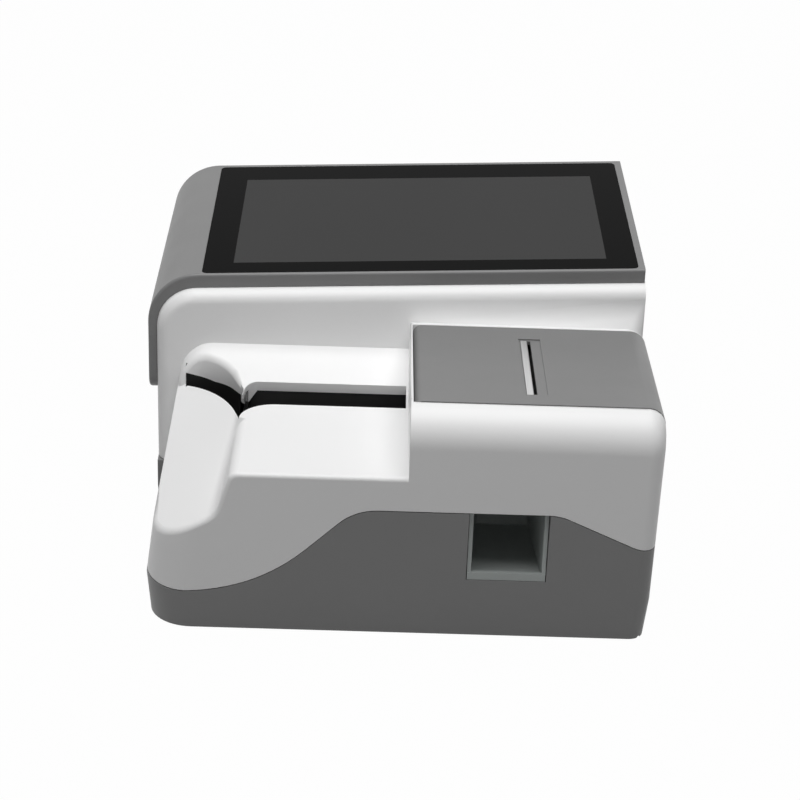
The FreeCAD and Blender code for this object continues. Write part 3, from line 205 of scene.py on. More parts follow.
# %% Lay the floor
FLOOR_WHITE_SHARE = 0.985
FLOOR_LEVEL = 158
bpy.ops.object.select_all(action="DESELECT")
bpy.ops.mesh.primitive_plane_add(size=12.0, location=(0, 2.0, 0))
floor = bpy.context.object
floor.name = "floor"
floor_look = Finish("floor_white", grey(FLOOR_LEVEL), 0.9)
rays = floor_look.tree.nodes.new("ShaderNodeLightPath")
seen = Field(floor_look.tree, rays.outputs["Is Camera Ray"])
mirrored = Field(floor_look.tree, rays.outputs["Is Glossy Ray"])
through = Field(floor_look.tree, rays.outputs["Is Transmission Ray"])
shown = seen.math("MAXIMUM", mirrored).math("MAXIMUM", through) * FLOOR_WHITE_SHARE
glow = seen.node("ShaderNodeEmission", {"Color": (1, 1, 1, 1), "Strength": 1.0})
own_surface = Field(floor_look.tree, floor_look.shader.outputs[0])
mixed = seen.node("ShaderNodeMixShader", {0: shown, 1: own_surface, 2: glow})
floor_look.tree.links.new(mixed.socket, floor_look.tree.nodes["Material Output"].inputs["Surface"])
floor.data.materials.append(floor_look.material)
print("floor laid at z = 0, white share", FLOOR_WHITE_SHARE)

# %% [markdown]
# ## Light
# The top faces of the white housing are nearly white in the photograph and its front is a
# middle grey, so almost all light comes from above. One large soft lamp overhead does that,
# the world fills in, and a very weak lamp at the front keeps the drawer opening readable.
# The powers were lowered until the brightest white no longer burned out, and the floor's own
# surface is a middle grey, because a brighter one throws too much light on the front.

# %% Light the world and hang the lamps
WORLD_LEVEL = 0.10
TOP_LAMP_POWER, FRONT_LAMP_POWER = 24.0, 0.5
world = bpy.data.worlds.new("studio")
world.use_nodes = True
bpy.context.scene.world = world
backdrop = world.node_tree.nodes["Background"]
world_rays = world.node_tree.nodes.new("ShaderNodeLightPath")
direct = Field(world.node_tree, world_rays.outputs["Is Camera Ray"])
glossy = Field(world.node_tree, world_rays.outputs["Is Glossy Ray"])
passing = Field(world.node_tree, world_rays.outputs["Is Transmission Ray"])
shown_sky = direct.math("MAXIMUM", glossy).math("MAXIMUM", passing)
level_of_sky = shown_sky * (1.0 - WORLD_LEVEL) + WORLD_LEVEL
world.node_tree.links.new(level_of_sky.socket, backdrop.inputs["Strength"])
backdrop.inputs["Color"].default_value = (1, 1, 1, 1)


def hang_lamp(name, place, aim, size, power):
    """A square area lamp at a place, pointing at another."""
    data = bpy.data.lights.new(name, "AREA")
    data.shape = "SQUARE"
    data.size = size
    data.energy = power
    lamp = bpy.data.objects.new(name, data)
    bpy.context.scene.collection.objects.link(lamp)
    lamp.location = place
    lamp.rotation_euler = (Vector(aim) - Vector(place)).to_track_quat("-Z", "Y").to_euler()


hang_lamp("top_lamp", (-0.05, -0.30, 1.6), (0, 0.0, 0.1), 1.4, TOP_LAMP_POWER)
hang_lamp("front_lamp", (0.1, -1.6, 0.5), (0, 0, 0.06), 1.2, FRONT_LAMP_POWER)
print("world level", WORLD_LEVEL, "and", len(bpy.data.lights), "lamps")

# %% [markdown]
# ## Moulded plastic
# The housings are moulded with a fine spark-eroded grain. Seen from a metre away it shows
# only as a soft sheen, so the grain is a very shallow bump, and the colour and the sheen
# wander slightly on a larger scale, as they do on a real moulding. The bin's plastic is a
# little greener than the base and paler. The paleness is partly the plastic's own tone and
# partly painted light, which lifts the shade deep in the bin's opening.

# %% Mix the moulded plastics
SHEEN_SPREAD = 0.12
GRAIN_SCALE = 2600.0


def moulded_plastic(name, colour, roughness, grain=0.00003, mottling=0.03):
    """Moulded plastic: an even colour with a trace of cloudiness, and a fine grain."""
    look = Finish(name, colour, roughness)
    cloud = look.noise(14.0, 4.0)
    dark = tuple(c * (1 - mottling) for c in colour[:3]) + (1.0,)
    light = tuple(min(c * (1 + mottling), 0.98) for c in colour[:3]) + (1.0,)
    look.feed("Base Color", cloud.blend(dark, light))
    look.feed("Roughness", look.noise(45.0, 3.0) * SHEEN_SPREAD + (roughness - SHEEN_SPREAD / 2))
    look.relief(look.noise(GRAIN_SCALE, 2.0), grain)
    return look.material


LOOKS = {
    "white_plastic": moulded_plastic("white_housing", grey(243), 0.45, 0.00002, 0.008),
    "grey_plastic": moulded_plastic("grey_cover", grey(118), 0.42, 0.00003),
    "dark_grey_plastic": moulded_plastic("grey_base", grey(128), 0.5, 0.00005),
    "black_plastic": moulded_plastic("black_inner", grey(24), 0.6),
    "head_plastic": moulded_plastic("optics_housing", grey(34), 0.5),
}
# The bin's paleness is partly painted light, lifting the shade inside its opening.
BIN_LOOK = moulded_plastic("bin_grey", (0.42, 0.45, 0.44, 1.0), 0.5, 0.00005)
print("plastics:", ", ".join(LOOKS), "and the bin's own")

# %% [markdown]
# ## The touch screen
# One sheet of glass covers the whole sloping top. Its border is printed black from behind,
# and inside the border the unlit display looks a shade lighter. Both are one surface, so the
# lighter field is a mask in the material: a rectangle in the glass's own coordinates, with an
# edge softened over a fifth of a millimetre. The display panel below it has a fine grid of
# picture cells, for whoever takes the glass off.

# %% Glass with a printed border
SCREEN_MIDDLE = (0.0122, 0.0611)
SCREEN_HALF = (0.0984, 0.0577)


def rectangle_mask(look, middle, half, softness=0.0002):
    """1 inside a rectangle in x and y, and 0 outside."""
    inside = 1.0
    for axis, centre, reach in zip("XY", middle, half):
        off_centre = (look.along(axis) - centre).math("ABSOLUTE")
        inside = (1.0 - off_centre.between(reach - softness, reach + softness)) * inside
    return inside


glass = Finish("cover_glass", grey(20), 0.14)
glass.shader.inputs["Specular IOR Level"].default_value = 0.01
lit_field = rectangle_mask(glass, SCREEN_MIDDLE, SCREEN_HALF)
wiped = glass.noise(9.0, 5.0, stretch=(1.0, 0.35, 1.0))
field_colour = wiped.blend(grey(64), grey(69))
border_colour = wiped.blend(grey(10), grey(13))
glass.feed("Base Color", lit_field.blend(border_colour, field_colour))
glass.feed("Roughness", wiped * 0.10 + 0.10)
LOOKS["black_glass"] = glass.material

panel = Finish("unlit_display", grey(60), 0.35)
cells = panel.place.node("ShaderNodeTexBrick", {
    "Vector": panel.place, "Scale": 1.0, "Brick Width": 0.0006, "Row Height": 0.0006,
    "Mortar Size": 0.00006, "Color1": grey(60), "Color2": grey(56), "Mortar": grey(30)})
panel.feed("Base Color", cells)
panel.feed("Roughness", panel.noise(200.0) * 0.1 + 0.3)
LOOKS["display"] = panel.material
print("glass field", [round(2000 * h) for h in SCREEN_HALF], "mm")

# %% [markdown]
# ## Metal
# The tear bar, the hinge pins and the brackets are bright steel with the fine parallel lines
# of a brushed sheet. Noise that is stretched a hundred times along one axis gives such lines,
# and it drives the roughness and a shallow bump together.

# %% Brushed steel
steel = Finish("brushed_steel", grey(205), 0.3, metallic=1.0)
lines = steel.noise(1800.0, 4.0, stretch=(1.0, 0.01, 1.0))
steel.feed("Base Color", lines.blend(grey(186), grey(222)))
steel.feed("Roughness", lines * 0.2 + 0.22)
steel.relief(lines, 0.00002)
LOOKS["steel"] = steel.material

# %% [markdown]
# ## Rubber, paper and paint
# These are small surfaces that show when a lid, the bin or the tray is out. Rubber is dull
# and slightly dusty, thermal paper shows the edges of its turns on the roll's ends, and the
# motor is painted black between two plain metal end caps.

# %% Rubber, and paper wound on a roll
rubber = Finish("black_rubber", grey(30), 0.8)
dust = rubber.noise(90.0, 6.0, 0.7)
rubber.feed("Base Color", dust.between(0.45, 0.8).blend(grey(26), grey(44)))
rubber.feed("Roughness", dust * 0.2 + 0.65)
rubber.relief(rubber.noise(900.0, 3.0), 0.0001)
LOOKS["rubber"] = rubber.material


def distance_from_axis(look, node):
    """How far a point lies from the axis of a turning piece, which runs along y."""
    low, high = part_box(node)
    sideways = look.along("X") - (low[0] + high[0]) / 2
    upwards = look.along("Z") - (low[2] + high[2]) / 2
    return (sideways * sideways + upwards * upwards).math("SQRT")


paper = Finish("thermal_paper", grey(240), 0.65)
turn = (distance_from_axis(paper, "paper_roll") * 9000.0 + paper.noise(40.0) * 1.5).math("SINE")
paper.feed("Base Color", turn.between(0.3, 1.0).blend(grey(243), grey(214)))
paper.feed("Roughness", paper.noise(300.0) * 0.15 + 0.6)
paper.relief(turn * 0.5 + paper.noise(1500.0), 0.00003)
LOOKS["paper"] = paper.material

# %% The motor's paint and end caps
motor_low, motor_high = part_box("stepper_motor")
motor = Finish("motor_paint", grey(30), 0.4)
depth = motor.along("Y")
from_middle = (depth - (motor_low[1] + motor_high[1]) / 2).math("ABSOLUTE")
cap = from_middle.between(0.0075, 0.0078)
laminations = (depth * 12000.0).math("SINE").between(0.2, 0.9)
motor.feed("Base Color", cap.blend(laminations.blend(grey(30), grey(20)), grey(168)))
motor.feed("Metallic", cap)
motor.feed("Roughness", motor.noise(160.0) * 0.15 + 0.33)
motor.relief(laminations, 0.00004)
LOOKS["motor"] = motor.material
print("motor runs from y", round(motor_low[1], 4), "to", round(motor_high[1], 4))

# %% [markdown]
# ## The circuit board
# A green solder mask lies over copper tracks, which show as slightly lighter lines. A brick
# pattern of long, low bricks reads as tracks without drawing a single one by hand. Chips are
# matt black with a faint grain.

# %% Solder mask and chips
board = Finish("solder_mask", (0.01, 0.10, 0.045, 1.0), 0.35)
tracks = board.place.node("ShaderNodeTexBrick", {
    "Vector": board.place, "Scale": 1.0, "Brick Width": 0.011, "Row Height": 0.0016,
    "Mortar Size": 0.0003, "Color1": (0.008, 0.085, 0.04, 1), "Color2": (0.010, 0.10, 0.046, 1),
    "Mortar": (0.03, 0.20, 0.09, 1)})
board.feed("Base Color", tracks)
board.feed("Roughness", board.noise(150.0) * 0.1 + 0.3)
LOOKS["board"] = board.material
chip = Finish("chip_black", grey(32), 0.5)
chip.feed("Base Color", chip.noise(60.0).blend(grey(28), grey(38)))
chip.feed("Roughness", chip.noise(400.0) * 0.2 + 0.45)
chip.relief(chip.noise(3000.0), 0.00002)
LOOKS["chip"] = chip.material

# %% Give each node its finish
for part in frame["record"]["subparts"]:
    owner = nodes[part["node"]]
    owner.data.materials.clear()
    owner.data.materials.append(LOOKS[part["material_slot"]])
nodes["strip_bin"].data.materials.clear()
nodes["strip_bin"].data.materials.append(BIN_LOOK)

# %% [markdown]
# ## Modelling helpers
# Most new shapes start as a primitive and are worked the way a modeller does it by hand:
# planes slice them, edges are rounded, and solids are joined or taken away. Where an outline
# has arcs or teeth, it is drawn as a template and given a height. The sizes are in
# millimetres on the drawing, where x runs to the right from the middle of the body, y runs
# back from the seam line of the front, and z is the height above the bench. Solids are
# joined and cut with Blender's manifold solver, which keeps closed solids closed.

# %% Places on the drawing
MM = 0.001
DRAWING_ORIGIN = Vector((4.4, -137.825, 0.0))


def spot(x, y, z):
    """A point of the drawing, in metres in the part's frame."""
    return (Vector((x, y, z)) + DRAWING_ORIGIN) * MM


def drawn(point):
    """A point of the part's frame, in millimetres on the drawing."""
    return point / MM - DRAWING_ORIGIN


print("the drawing's origin is at", [round(c * MM, 4) for c in DRAWING_ORIGIN])

# %% The basic tools
SMOOTH_BELOW = math.radians(32)


def only(piece):
    """Select one piece and nothing else."""
    bpy.ops.object.select_all(action="DESELECT")
    piece.select_set(True)
    bpy.context.view_layer.objects.active = piece


def block(name, low, high):
    """A box between two corners on the drawing, as the start of a piece."""
    bpy.ops.object.select_all(action="DESELECT")
    a, b = spot(*low), spot(*high)
    bpy.ops.mesh.primitive_cube_add(size=1.0, location=(a + b) / 2, scale=b - a)
    piece = bpy.context.object
    piece.name = name
    bpy.ops.object.transform_apply(location=True, rotation=True, scale=True)
    return piece


def sliced(piece, point, normal):
    """Cut a piece by a plane and keep the side that the normal points away from."""
    only(piece)
    bpy.ops.object.mode_set(mode="EDIT")
    bpy.ops.mesh.select_all(action="SELECT")
    bpy.ops.mesh.bisect(plane_co=spot(*point), plane_no=normal, clear_outer=True, use_fill=True)
    bpy.ops.object.mode_set(mode="OBJECT")
    return piece


def edges_rounded(piece, chosen, radius, segments=6):
    """Round the edges whose two ends, as points of the drawing, pass a test."""
    only(piece)
    bpy.ops.object.mode_set(mode="EDIT")
    bpy.ops.mesh.select_mode(type="EDGE")
    bpy.ops.mesh.select_all(action="DESELECT")
    mesh = bmesh.from_edit_mesh(piece.data)
    for edge in mesh.edges:
        if chosen(*[drawn(v.co) for v in edge.verts]):
            edge.select_set(True)
    bmesh.update_edit_mesh(piece.data)
    bpy.ops.mesh.bevel(offset=radius * MM, segments=segments, affect="EDGES")
    bpy.ops.object.mode_set(mode="OBJECT")


def welded(piece, distance):
    """Merge the corners of a piece that lie closer than a distance in millimetres."""
    only(piece)
    bpy.ops.object.mode_set(mode="EDIT")
    bpy.ops.mesh.select_all(action="SELECT")
    bpy.ops.mesh.remove_doubles(threshold=distance * MM)
    bpy.ops.object.mode_set(mode="OBJECT")


def smoothed(piece):
    """Shade a piece smooth except along its sharp edges."""
    only(piece)
    bpy.ops.object.shade_smooth_by_angle(angle=SMOOTH_BELOW)


def finished(piece, look, body, replaced):
    """Dress a new piece, let it ride on a body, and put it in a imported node's place."""
    piece.data.materials.clear()
    piece.data.materials.append(LOOKS[look])
    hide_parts(replaced)
    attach(piece, body)


def carved(piece, tool, operation="DIFFERENCE"):
    """Take a tool away from a piece, or join it on, and drop the tool."""
    only(piece)
    step = piece.modifiers.new("carve", "BOOLEAN")
    step.operation = operation
    step.solver = "MANIFOLD"
    step.object = tool
    bpy.ops.object.modifier_apply(modifier=step.name)
    bpy.data.objects.remove(tool)
    return piece


print("edges that turn less than", round(math.degrees(SMOOTH_BELOW)), "degrees are shaded smooth")

# %% [markdown]
# ## The loading scoop
# The front left of the white housing is the shape that one remembers: a flat chute tilted
# towards the user, with a leaning wall to the deck on its right, and a curved wall behind it.
# A long slot under that wall runs into the strip trench. All of it is made from planes, so
# the tools here are large blocks that planes have sliced. A helper makes the outer form and,
# with the wall's thickness given as an inset, the hollow inside it. The fillet between the
# chute and its wall narrows to the back, which no bevel does, so that one surface is skinned
# between two drawn sections.

# %% Lines and planes that the scoop is built on
WALL = 2.5
DECK_TOP = 92.1
DECK_LEFT = -82.3
SIDE_LEAN = 0.13
FRONT_LEAN = 0.1
FRONT_FOOT = 7.1
CHUTE_LEVEL, CHUTE_LEFT = 56.0, 109.0
CHUTE_TILT = math.tan(math.radians(31.0))
CHUTE_RISE = math.tan(math.radians(16.7))
FILLET_SECTIONS = ((-60.0, 20.5), (140.0, 2.5))  # y and radius of the two sections
COVE_BACK, COVE_TURN, COVE_RUN = 112.0, 22.0, 0.64  # wall's y, corner radius, x per y
WALL_LEAN = math.tan(math.radians(17.0))
SLOPE = math.tan(math.radians(25.0))
TRENCH_FRONT, TRENCH_BACK, TRENCH_RIGHT = 78.3, 96.3, 2.3
SLOPE_TOP = 96.5
CUT_RIGHT, CUT_BACK, CUT_FOOT = 3.5, 120.0, 44.0
SEAM_CLIMB, SEAM_CLEAR = -70.0, 78.0
FRONT_CORNER_RADIUS, SHOULDER_RADIUS = 22.0, 15.0
DECK_EDGE_RADIUS, RIM_RADIUS, COVE_TOP_RADIUS = 4.0, 2.4, 3.2
print("chute falls", round(math.degrees(math.atan(CHUTE_TILT))), "degrees to the left")


# %% Tools for the scoop
def chute_z(x, y):
    """Height of the chute's floor."""
    return CHUTE_LEVEL + (x + CHUTE_LEFT) * CHUTE_TILT + y * CHUTE_RISE


def cove_x(y):
    """x of the straight stretch of the curved wall, which runs back to the left."""
    return DECK_LEFT - 1.3 - (y - TRENCH_BACK + 1.7) * COVE_RUN


def closed_piece(name, mesh):
    """Turn faces that were built one by one into an object."""
    bmesh.ops.recalc_face_normals(mesh, faces=mesh.faces)
    data = bpy.data.meshes.new(name)
    mesh.to_mesh(data)
    mesh.free()
    piece = bpy.data.objects.new(name, data)
    bpy.context.scene.collection.objects.link(piece)
    return piece


def side_planes(piece, inset):
    """Trim a block to the leaning left side and the leaning front."""
    sliced(piece, (-126.0 + inset, 0, 23.0), (-1, 0, SIDE_LEAN))
    sliced(piece, (0, FRONT_FOOT + inset, 0), (0, -1, -FRONT_LEAN))


def space_over_chute(inset):
    """The air above the chute: its lower right edge is a fillet that narrows to the back."""
    drop = inset * math.sqrt(1 + CHUTE_TILT ** 2 + CHUTE_RISE ** 2)
    aside = inset * math.sqrt(1 + WALL_LEAN ** 2)
    mesh = bmesh.new()
    loops = []
    for y, outer_radius in FILLET_SECTIONS:
        radius = outer_radius + inset
        floor_at_0 = chute_z(0, y) - drop
        wall_at_0 = DECK_LEFT - DECK_TOP * WALL_LEAN + aside
        corner_z = (floor_at_0 + CHUTE_TILT * wall_at_0) / (1 - CHUTE_TILT * WALL_LEAN)
        corner = Vector((wall_at_0 + corner_z * WALL_LEAN, corner_z))
        along_floor = Vector((-1, -CHUTE_TILT)).normalized()
        along_wall = Vector((WALL_LEAN, 1)).normalized()
        half = along_floor.angle(along_wall) / 2
        reach = radius / math.tan(half)
        start = corner + along_floor * reach
        centre = corner + (along_floor + along_wall).normalized() * (radius / math.sin(half))
        sweep = math.pi - 2 * half
        arm = start - centre
        curve = []
        for step in range(13):
            turn = sweep * step / 12
            curve.append(centre + Vector((arm.x * math.cos(turn) - arm.y * math.sin(turn),
                                          arm.x * math.sin(turn) + arm.y * math.cos(turn))))
        far_left = corner + along_floor * 160
        top = corner + along_wall * 90
        ring = [far_left] + curve + [top, Vector((far_left.x, top.y))]
        loops.append([mesh.verts.new(spot(p.x, y, p.y)) for p in ring])
    front, back = loops
    count = len(front)
    for i in range(count):
        j = (i + 1) % count
        mesh.faces.new((front[i], front[j], back[j], back[i]))
    mesh.faces.new(front)
    mesh.faces.new(back)
    return closed_piece("space", mesh)


def chute_plan(grow, low, high):
    """An upright prism over the chute's plan, with its rear right corner turned widely."""
    back = COVE_BACK + grow
    piece = block("plan", (-200, -60, low), (-40, back, high))
    side = math.hypot(1, COVE_RUN)
    sliced(piece, (cove_x(50.0) + grow * side, 50.0, 0), (1, COVE_RUN, 0))
    half = (math.pi - math.atan2(1, COVE_RUN)) / 2

    def is_rear_right(a, b):
        upright = abs(a.z - b.z) > 1 and abs(a.x - b.x) < 0.1
        return upright and a.x > -150 and all(abs(p.y - back) < 0.1 for p in (a, b))

    edges_rounded(piece, is_rear_right, (COVE_TURN + grow) * math.tan(math.pi / 2 - half), 10)
    return piece


print("chute at its rear right:", round(chute_z(DECK_LEFT, TRENCH_FRONT), 1), "mm high")

# %% The scoop's outer form, or its hollow
def scoop_form(inset):
    """The front left of the housing as one solid, shrunk by an inset."""
    past = 8.0 if inset else 0.0
    right, back, foot = CUT_RIGHT + past, CUT_BACK + past, CUT_FOOT - past
    deck = block("deck", (-135, -15, foot), (right, back, DECK_TOP - inset))
    side_planes(deck, inset)
    edges_rounded(deck, is_front_corner, FRONT_CORNER_RADIUS - inset, 10)
    carved(deck, space_over_chute(inset))
    if not inset:
        edges_rounded(deck, is_deck_edge, DECK_EDGE_RADIUS, 6)
        edges_rounded(deck, is_rim, RIM_RADIUS, 5)
    slope = block("slope", (-135, 80.0, foot), (right, back, 140))
    side_planes(slope, inset)
    fall = inset * math.hypot(1, SLOPE)
    sliced(slope, (0, TRENCH_BACK, SLOPE_TOP - fall), (0, -SLOPE, 1))
    edges_rounded(slope, is_shoulder, SHOULDER_RADIUS - inset, 8)
    plan = chute_plan(inset, 20.0, 160.0)
    right_side = block("right_side", (DECK_LEFT + 0.5 + inset, -70, 0), (0, 200, 200))
    carved(plan, right_side)
    carved(slope, plan)
    welded(slope, 0.6)
    if not inset:
        edges_rounded(slope, is_cove_top, COVE_TOP_RADIUS, 5)
    return carved(deck, slope, "UNION")


def is_front_corner(a, b):
    """Whether an edge is the upright edge of the front left corner."""
    return abs(a.z - b.z) > 20 and max(a.y, b.y) < 10 and max(a.x, b.x) < -110


def is_shoulder(a, b):
    """Whether an edge is the upper left edge of the sloping deck."""
    return max(a.x, b.x) < -100 and min(a.z, b.z) > 85 and abs(a.y - b.y) > 20


def is_rim(a, b):
    """Whether an edge lies on the front where the chute, its wall or the deck meets it."""
    for p in (a, b):
        near_front = abs(p.y - (FRONT_FOOT - FRONT_LEAN * p.z)) < 0.3 or p.x < -100 and p.y < 26
        above_foot = p.z > CUT_FOOT + 2
        if not (near_front and above_foot):
            return False
    return abs(a.z - b.z) < 0.98 * (a - b).length


def is_deck_edge(a, b):
    """Whether an edge is the deck's left edge, above the chute's wall."""
    return all(abs(p.z - DECK_TOP) < 0.1 and abs(p.x - DECK_LEFT) < 0.1 for p in (a, b))


def on_cove(p):
    """Whether a point lies on the outline of the curved wall, seen from above."""
    if p.x < -106.8:
        return abs(p.y - COVE_BACK) < 0.1
    if p.x > -88.4:
        return abs(p.x - cove_x(p.y)) < 0.2 and p.x < DECK_LEFT + 0.6
    return abs(math.hypot(p.x + 106.75, p.y - COVE_BACK + COVE_TURN) - COVE_TURN) < 0.6


def is_cove_top(a, b):
    """Whether an edge is the upper or the left edge of the curved wall."""
    return all(on_cove(p) and (p.z > 75 or max(a.x, b.x) < -115) for p in (a, b))


print("wall", WALL, "mm, deck", DECK_TOP, "mm high")

# %% Make the scoop's shell
scoop = scoop_form(0.0)
hollow = scoop_form(WALL)
print("outer form:", len(scoop.data.polygons), "faces, hollow:", len(hollow.data.polygons), "faces")
carved(scoop, hollow)
under_deck = block("under_deck", (SEAM_CLIMB, -40, CUT_FOOT - 10), (CUT_RIGHT + 20, 200, SEAM_CLEAR))
carved(scoop, under_deck)
print("scoop's shell:", len(scoop.data.polygons), "faces")

# %% [markdown]
# ## The strip trench and the slot under the curved wall
# A test strip slides down the chute, through a long slot under the curved wall, and into the
# trench. The opening's outline has two round corners of quite different radius, so it is
# drawn as one template of lines and arcs and given a height. The chute's floor ends in a
# longer bend, in front of a drop to the slot. The slot's tool is the same plan as the curved
# wall, once a little larger and once a little smaller.

# %% A template of lines and arcs
def template(name, path, low, high):
    """An upright prism over an outline of points on the drawing."""
    mesh = bmesh.new()
    ground = mesh.faces.new([mesh.verts.new(spot(x, y, low)) for x, y in path])
    raised = bmesh.ops.extrude_face_region(mesh, geom=[ground])
    lifted = [part for part in raised["geom"] if isinstance(part, bmesh.types.BMVert)]
    bmesh.ops.translate(mesh, verts=lifted, vec=(0, 0, (high - low) * MM))
    return closed_piece(name, mesh)


def arc(middle, radius, start, end, steps):
    """Points on an arc, from one angle to another in degrees."""
    turns = [math.radians(start + (end - start) * i / steps) for i in range(steps + 1)]
    x, y = middle
    return [(x + radius * math.cos(t), y + radius * math.sin(t)) for t in turns]


def bend(a, b, c, d, steps):
    """Points on a curve from a to d that leaves towards b and arrives from c."""
    points = []
    for i in range(steps + 1):
        t = i / steps
        shares = ((1 - t) ** 3, 3 * t * (1 - t) ** 2, 3 * t * t * (1 - t), t ** 3)
        points.append(tuple(sum(w * p[k] for w, p in zip(shares, (a, b, c, d))) for k in (0, 1)))
    return points


def trench_path(grow):
    """The trench's outline from above, drawn larger by a margin."""
    front_corner = arc((DECK_LEFT + 18.0, TRENCH_FRONT - 18.0), 18.0 + grow, 90, 180, 12)
    rear_corner = arc((DECK_LEFT + 7.8, TRENCH_BACK - 7.3), 7.3 + grow, 180, 90, 8)
    left = [(DECK_LEFT - 0.3, TRENCH_FRONT - 17.0), (DECK_LEFT - 0.3, TRENCH_BACK - 7.4)]
    right = [(TRENCH_RIGHT, TRENCH_BACK + grow), (TRENCH_RIGHT, TRENCH_FRONT - grow)]
    return front_corner + left + rear_corner + right


print("trench outline:", len(trench_path(0.0)), "points")

# %% Cut the trench, the drop and the slot
SLOT_END = -113.6
SLOT_FALL = math.tan(math.radians(13.5))
SLOT_TOP = chute_z(SLOT_END, COVE_BACK) + 6.5
TRENCH_BOTTOM = 70.4
FLANGE_BOTTOM = 91.5

skirt_bottom = SLOT_TOP - (DECK_LEFT - SLOT_END) * SLOT_FALL
skirt = template("skirt", trench_path(3.0), skirt_bottom, 130.0)
sliced(skirt, (0, TRENCH_BACK, SLOPE_TOP - 0.2), (0, -SLOPE, 1))
sliced(skirt, (DECK_LEFT - 2.0, 0, 0), (-1, 0, 0))
sliced(skirt, (DECK_LEFT + 7.3, 0, 0), (1, 0, 0))
sliced(skirt, (DECK_LEFT + 7.3, 0, FLANGE_BOTTOM), (0.81, 0, -0.59))
sliced(skirt, (0, 91.4, 0), (0, -1, 0))
carved(skirt, chute_plan(0.02, 60.0, 140.0))
carved(scoop, skirt, "UNION")
flange = block("flange", (DECK_LEFT + 7.0, TRENCH_BACK, FLANGE_BOTTOM),
               (CUT_RIGHT, TRENCH_BACK + 1.6, 96.0))
carved(scoop, flange, "UNION")
carved(scoop, template("trench", trench_path(0.0), TRENCH_BOTTOM, 150.0))

chute_end = bend((DECK_LEFT, 60.3), (-85.6, 78.1), (-99.0, 97.3), (SLOT_END, 110.9), 18)
drop = template("drop", chute_end + [(SLOT_END, 114.0), (DECK_LEFT, 114.0)], TRENCH_BOTTOM, 150.0)
carved(drop, chute_plan(0.02, 60.0, 160.0), "INTERSECT")
carved(scoop, drop)

slot = chute_plan(3.7, TRENCH_BOTTOM, 120.0)
carved(slot, chute_plan(-2.2, 60.0, 130.0))
sliced(slot, (SLOT_END, 0, SLOT_TOP), (SLOT_FALL, 0, 1))
sliced(slot, (SLOT_END, 0, 0), (-1, 0, 0))
sliced(slot, (DECK_LEFT + 4.0, 0, 0), (1, 0, 0))
sliced(slot, (0, TRENCH_FRONT + 4.0, 0), (0, -1, 0))
carved(scoop, slot)
print("scoop with its openings:", len(scoop.data.polygons), "faces")

# %% [markdown]
# ## One housing
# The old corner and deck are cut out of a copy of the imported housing, and the new ones take
# their place. A small patch closes the wall behind the slope's upper left end.

# %% Join the scoop to the rest of the housing
only(nodes["upper_shell"])
bpy.ops.object.duplicate()
housing = bpy.context.object
housing.name = "white_housing"
housing.parent = None
welded(housing, 0.005)
carved(housing, block("old_corner", (-150, -40, CUT_FOOT), (SEAM_CLIMB, CUT_BACK, 160)))
carved(housing, block("old_deck", (SEAM_CLIMB - 1, -40, SEAM_CLEAR), (CUT_RIGHT, CUT_BACK, 160)))
patch = block("patch", (-123.0, CUT_BACK + 0.02, 88.0), (-80.0, CUT_BACK + 2.4, 112.0))
edges_rounded(patch, lambda a, b: abs(a.y - b.y) > 1, 0.5, 2)
only(scoop)
patch.select_set(True)
housing.select_set(True)
bpy.context.view_layer.objects.active = housing
bpy.ops.object.join()
smoothed(housing)
shading = housing.modifiers.new("shading", "WEIGHTED_NORMAL")
shading.keep_sharp = True
bpy.ops.object.modifier_apply(modifier=shading.name)
finished(housing, "white_plastic", "housing", "upper_shell")
print("white housing:", len(housing.data.polygons), "faces")

# %% [markdown]
# ## The tear-off blade
# Paper is torn against a thin steel blade in the lid. Its edge along the slit is a row of
# fine teeth, which are drawn in the blade's outline.

# %% Cut the blade's teeth
TOOTH, DEPTH, TEETH = 1.11, 0.55, 60
BLADE_LEFT, BLADE_RIGHT, BLADE_START = 59.42, 62.98, 23.24
BLADE_FOOT, BLADE_TOP = 126.01, 126.79


def is_blade_back(a, b):
    """Whether an edge is the blade's upper edge on the side without teeth."""
    return max(a.x, b.x) < BLADE_LEFT + 0.1 and min(a.z, b.z) > BLADE_TOP - 0.09


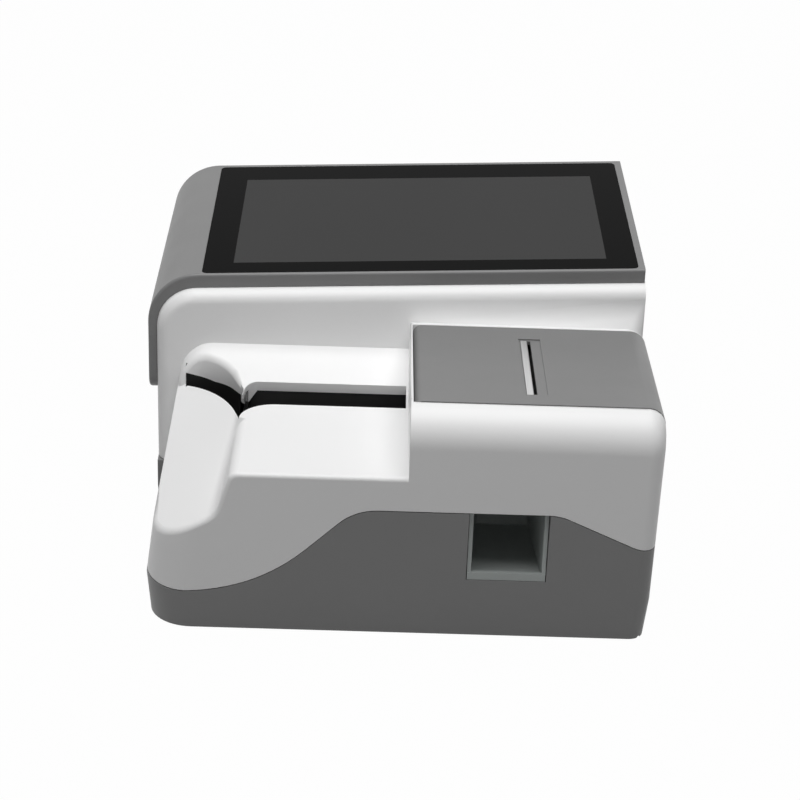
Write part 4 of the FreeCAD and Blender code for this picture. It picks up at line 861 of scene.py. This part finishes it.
edge = []
for i in range(TEETH):
    edge.append((BLADE_RIGHT - DEPTH, BLADE_START + i * TOOTH))
    edge.append((BLADE_RIGHT, BLADE_START + (i + 0.5) * TOOTH))
edge.append((BLADE_RIGHT - DEPTH, BLADE_START + TEETH * TOOTH))
straight_side = [(BLADE_LEFT, edge[-1][1]), (BLADE_LEFT, BLADE_START)]
blade = template("tear_blade", edge + straight_side, BLADE_FOOT, BLADE_TOP)
edges_rounded(blade, is_blade_back, 0.25, 3)
finished(blade, "steel", "lid", "tear_bar")
print("blade with", TEETH, "teeth")

# %% [markdown]
# ## The case screws
# Four screws come up through the base. Their heads have a rounded rim and a cross recess,
# and the shanks end in a short taper.

# %% Turn and slot the screws
SCREWS = ((-100.0, 38.025), (119.5, 11.525), (-114.0, 221.025), (114.0, 221.025))
HEAD_FOOT, HEAD_TOP, SHANK_TOP = 1.92, 4.3, 37.88
HEAD_RADIUS, SHANK_RADIUS, RECESS_DEPTH = 2.98, 1.48, 1.4


def rod(radius, place, low, high):
    """An upright round bar on the drawing."""
    bpy.ops.object.select_all(action="DESELECT")
    bpy.ops.mesh.primitive_cylinder_add(vertices=32, radius=radius * MM, depth=(high - low) * MM,
                                        location=spot(place[0], place[1], (low + high) / 2))
    piece = bpy.context.object
    bpy.ops.object.transform_apply(location=True, rotation=True, scale=True)
    return piece


screws = []
for place in SCREWS:
    screw = rod(HEAD_RADIUS, place, HEAD_FOOT, HEAD_TOP)
    edges_rounded(screw, lambda a, b: max(a.z, b.z) < HEAD_FOOT + 0.1, 0.6, 4)
    shank = rod(SHANK_RADIUS, place, HEAD_TOP - 1.0, SHANK_TOP)
    edges_rounded(shank, lambda a, b: min(a.z, b.z) > SHANK_TOP - 0.1, 0.9, 2)
    carved(screw, shank, "UNION")
    x, y = place
    for wide, deep in ((1.7, 0.4), (0.4, 1.7)):
        low, high = HEAD_FOOT - 1, HEAD_FOOT + RECESS_DEPTH
        carved(screw, block("arm", (x - wide, y - deep, low), (x + wide, y + deep, high)))
    screws.append(screw)
only(screws[0])
for screw in screws:
    screw.select_set(True)
bpy.ops.object.join()
case_screws = bpy.context.object
case_screws.name = "cross_head_screws"
smoothed(case_screws)
finished(case_screws, "steel", "housing", "case_screws")
print("screws:", len(screws))
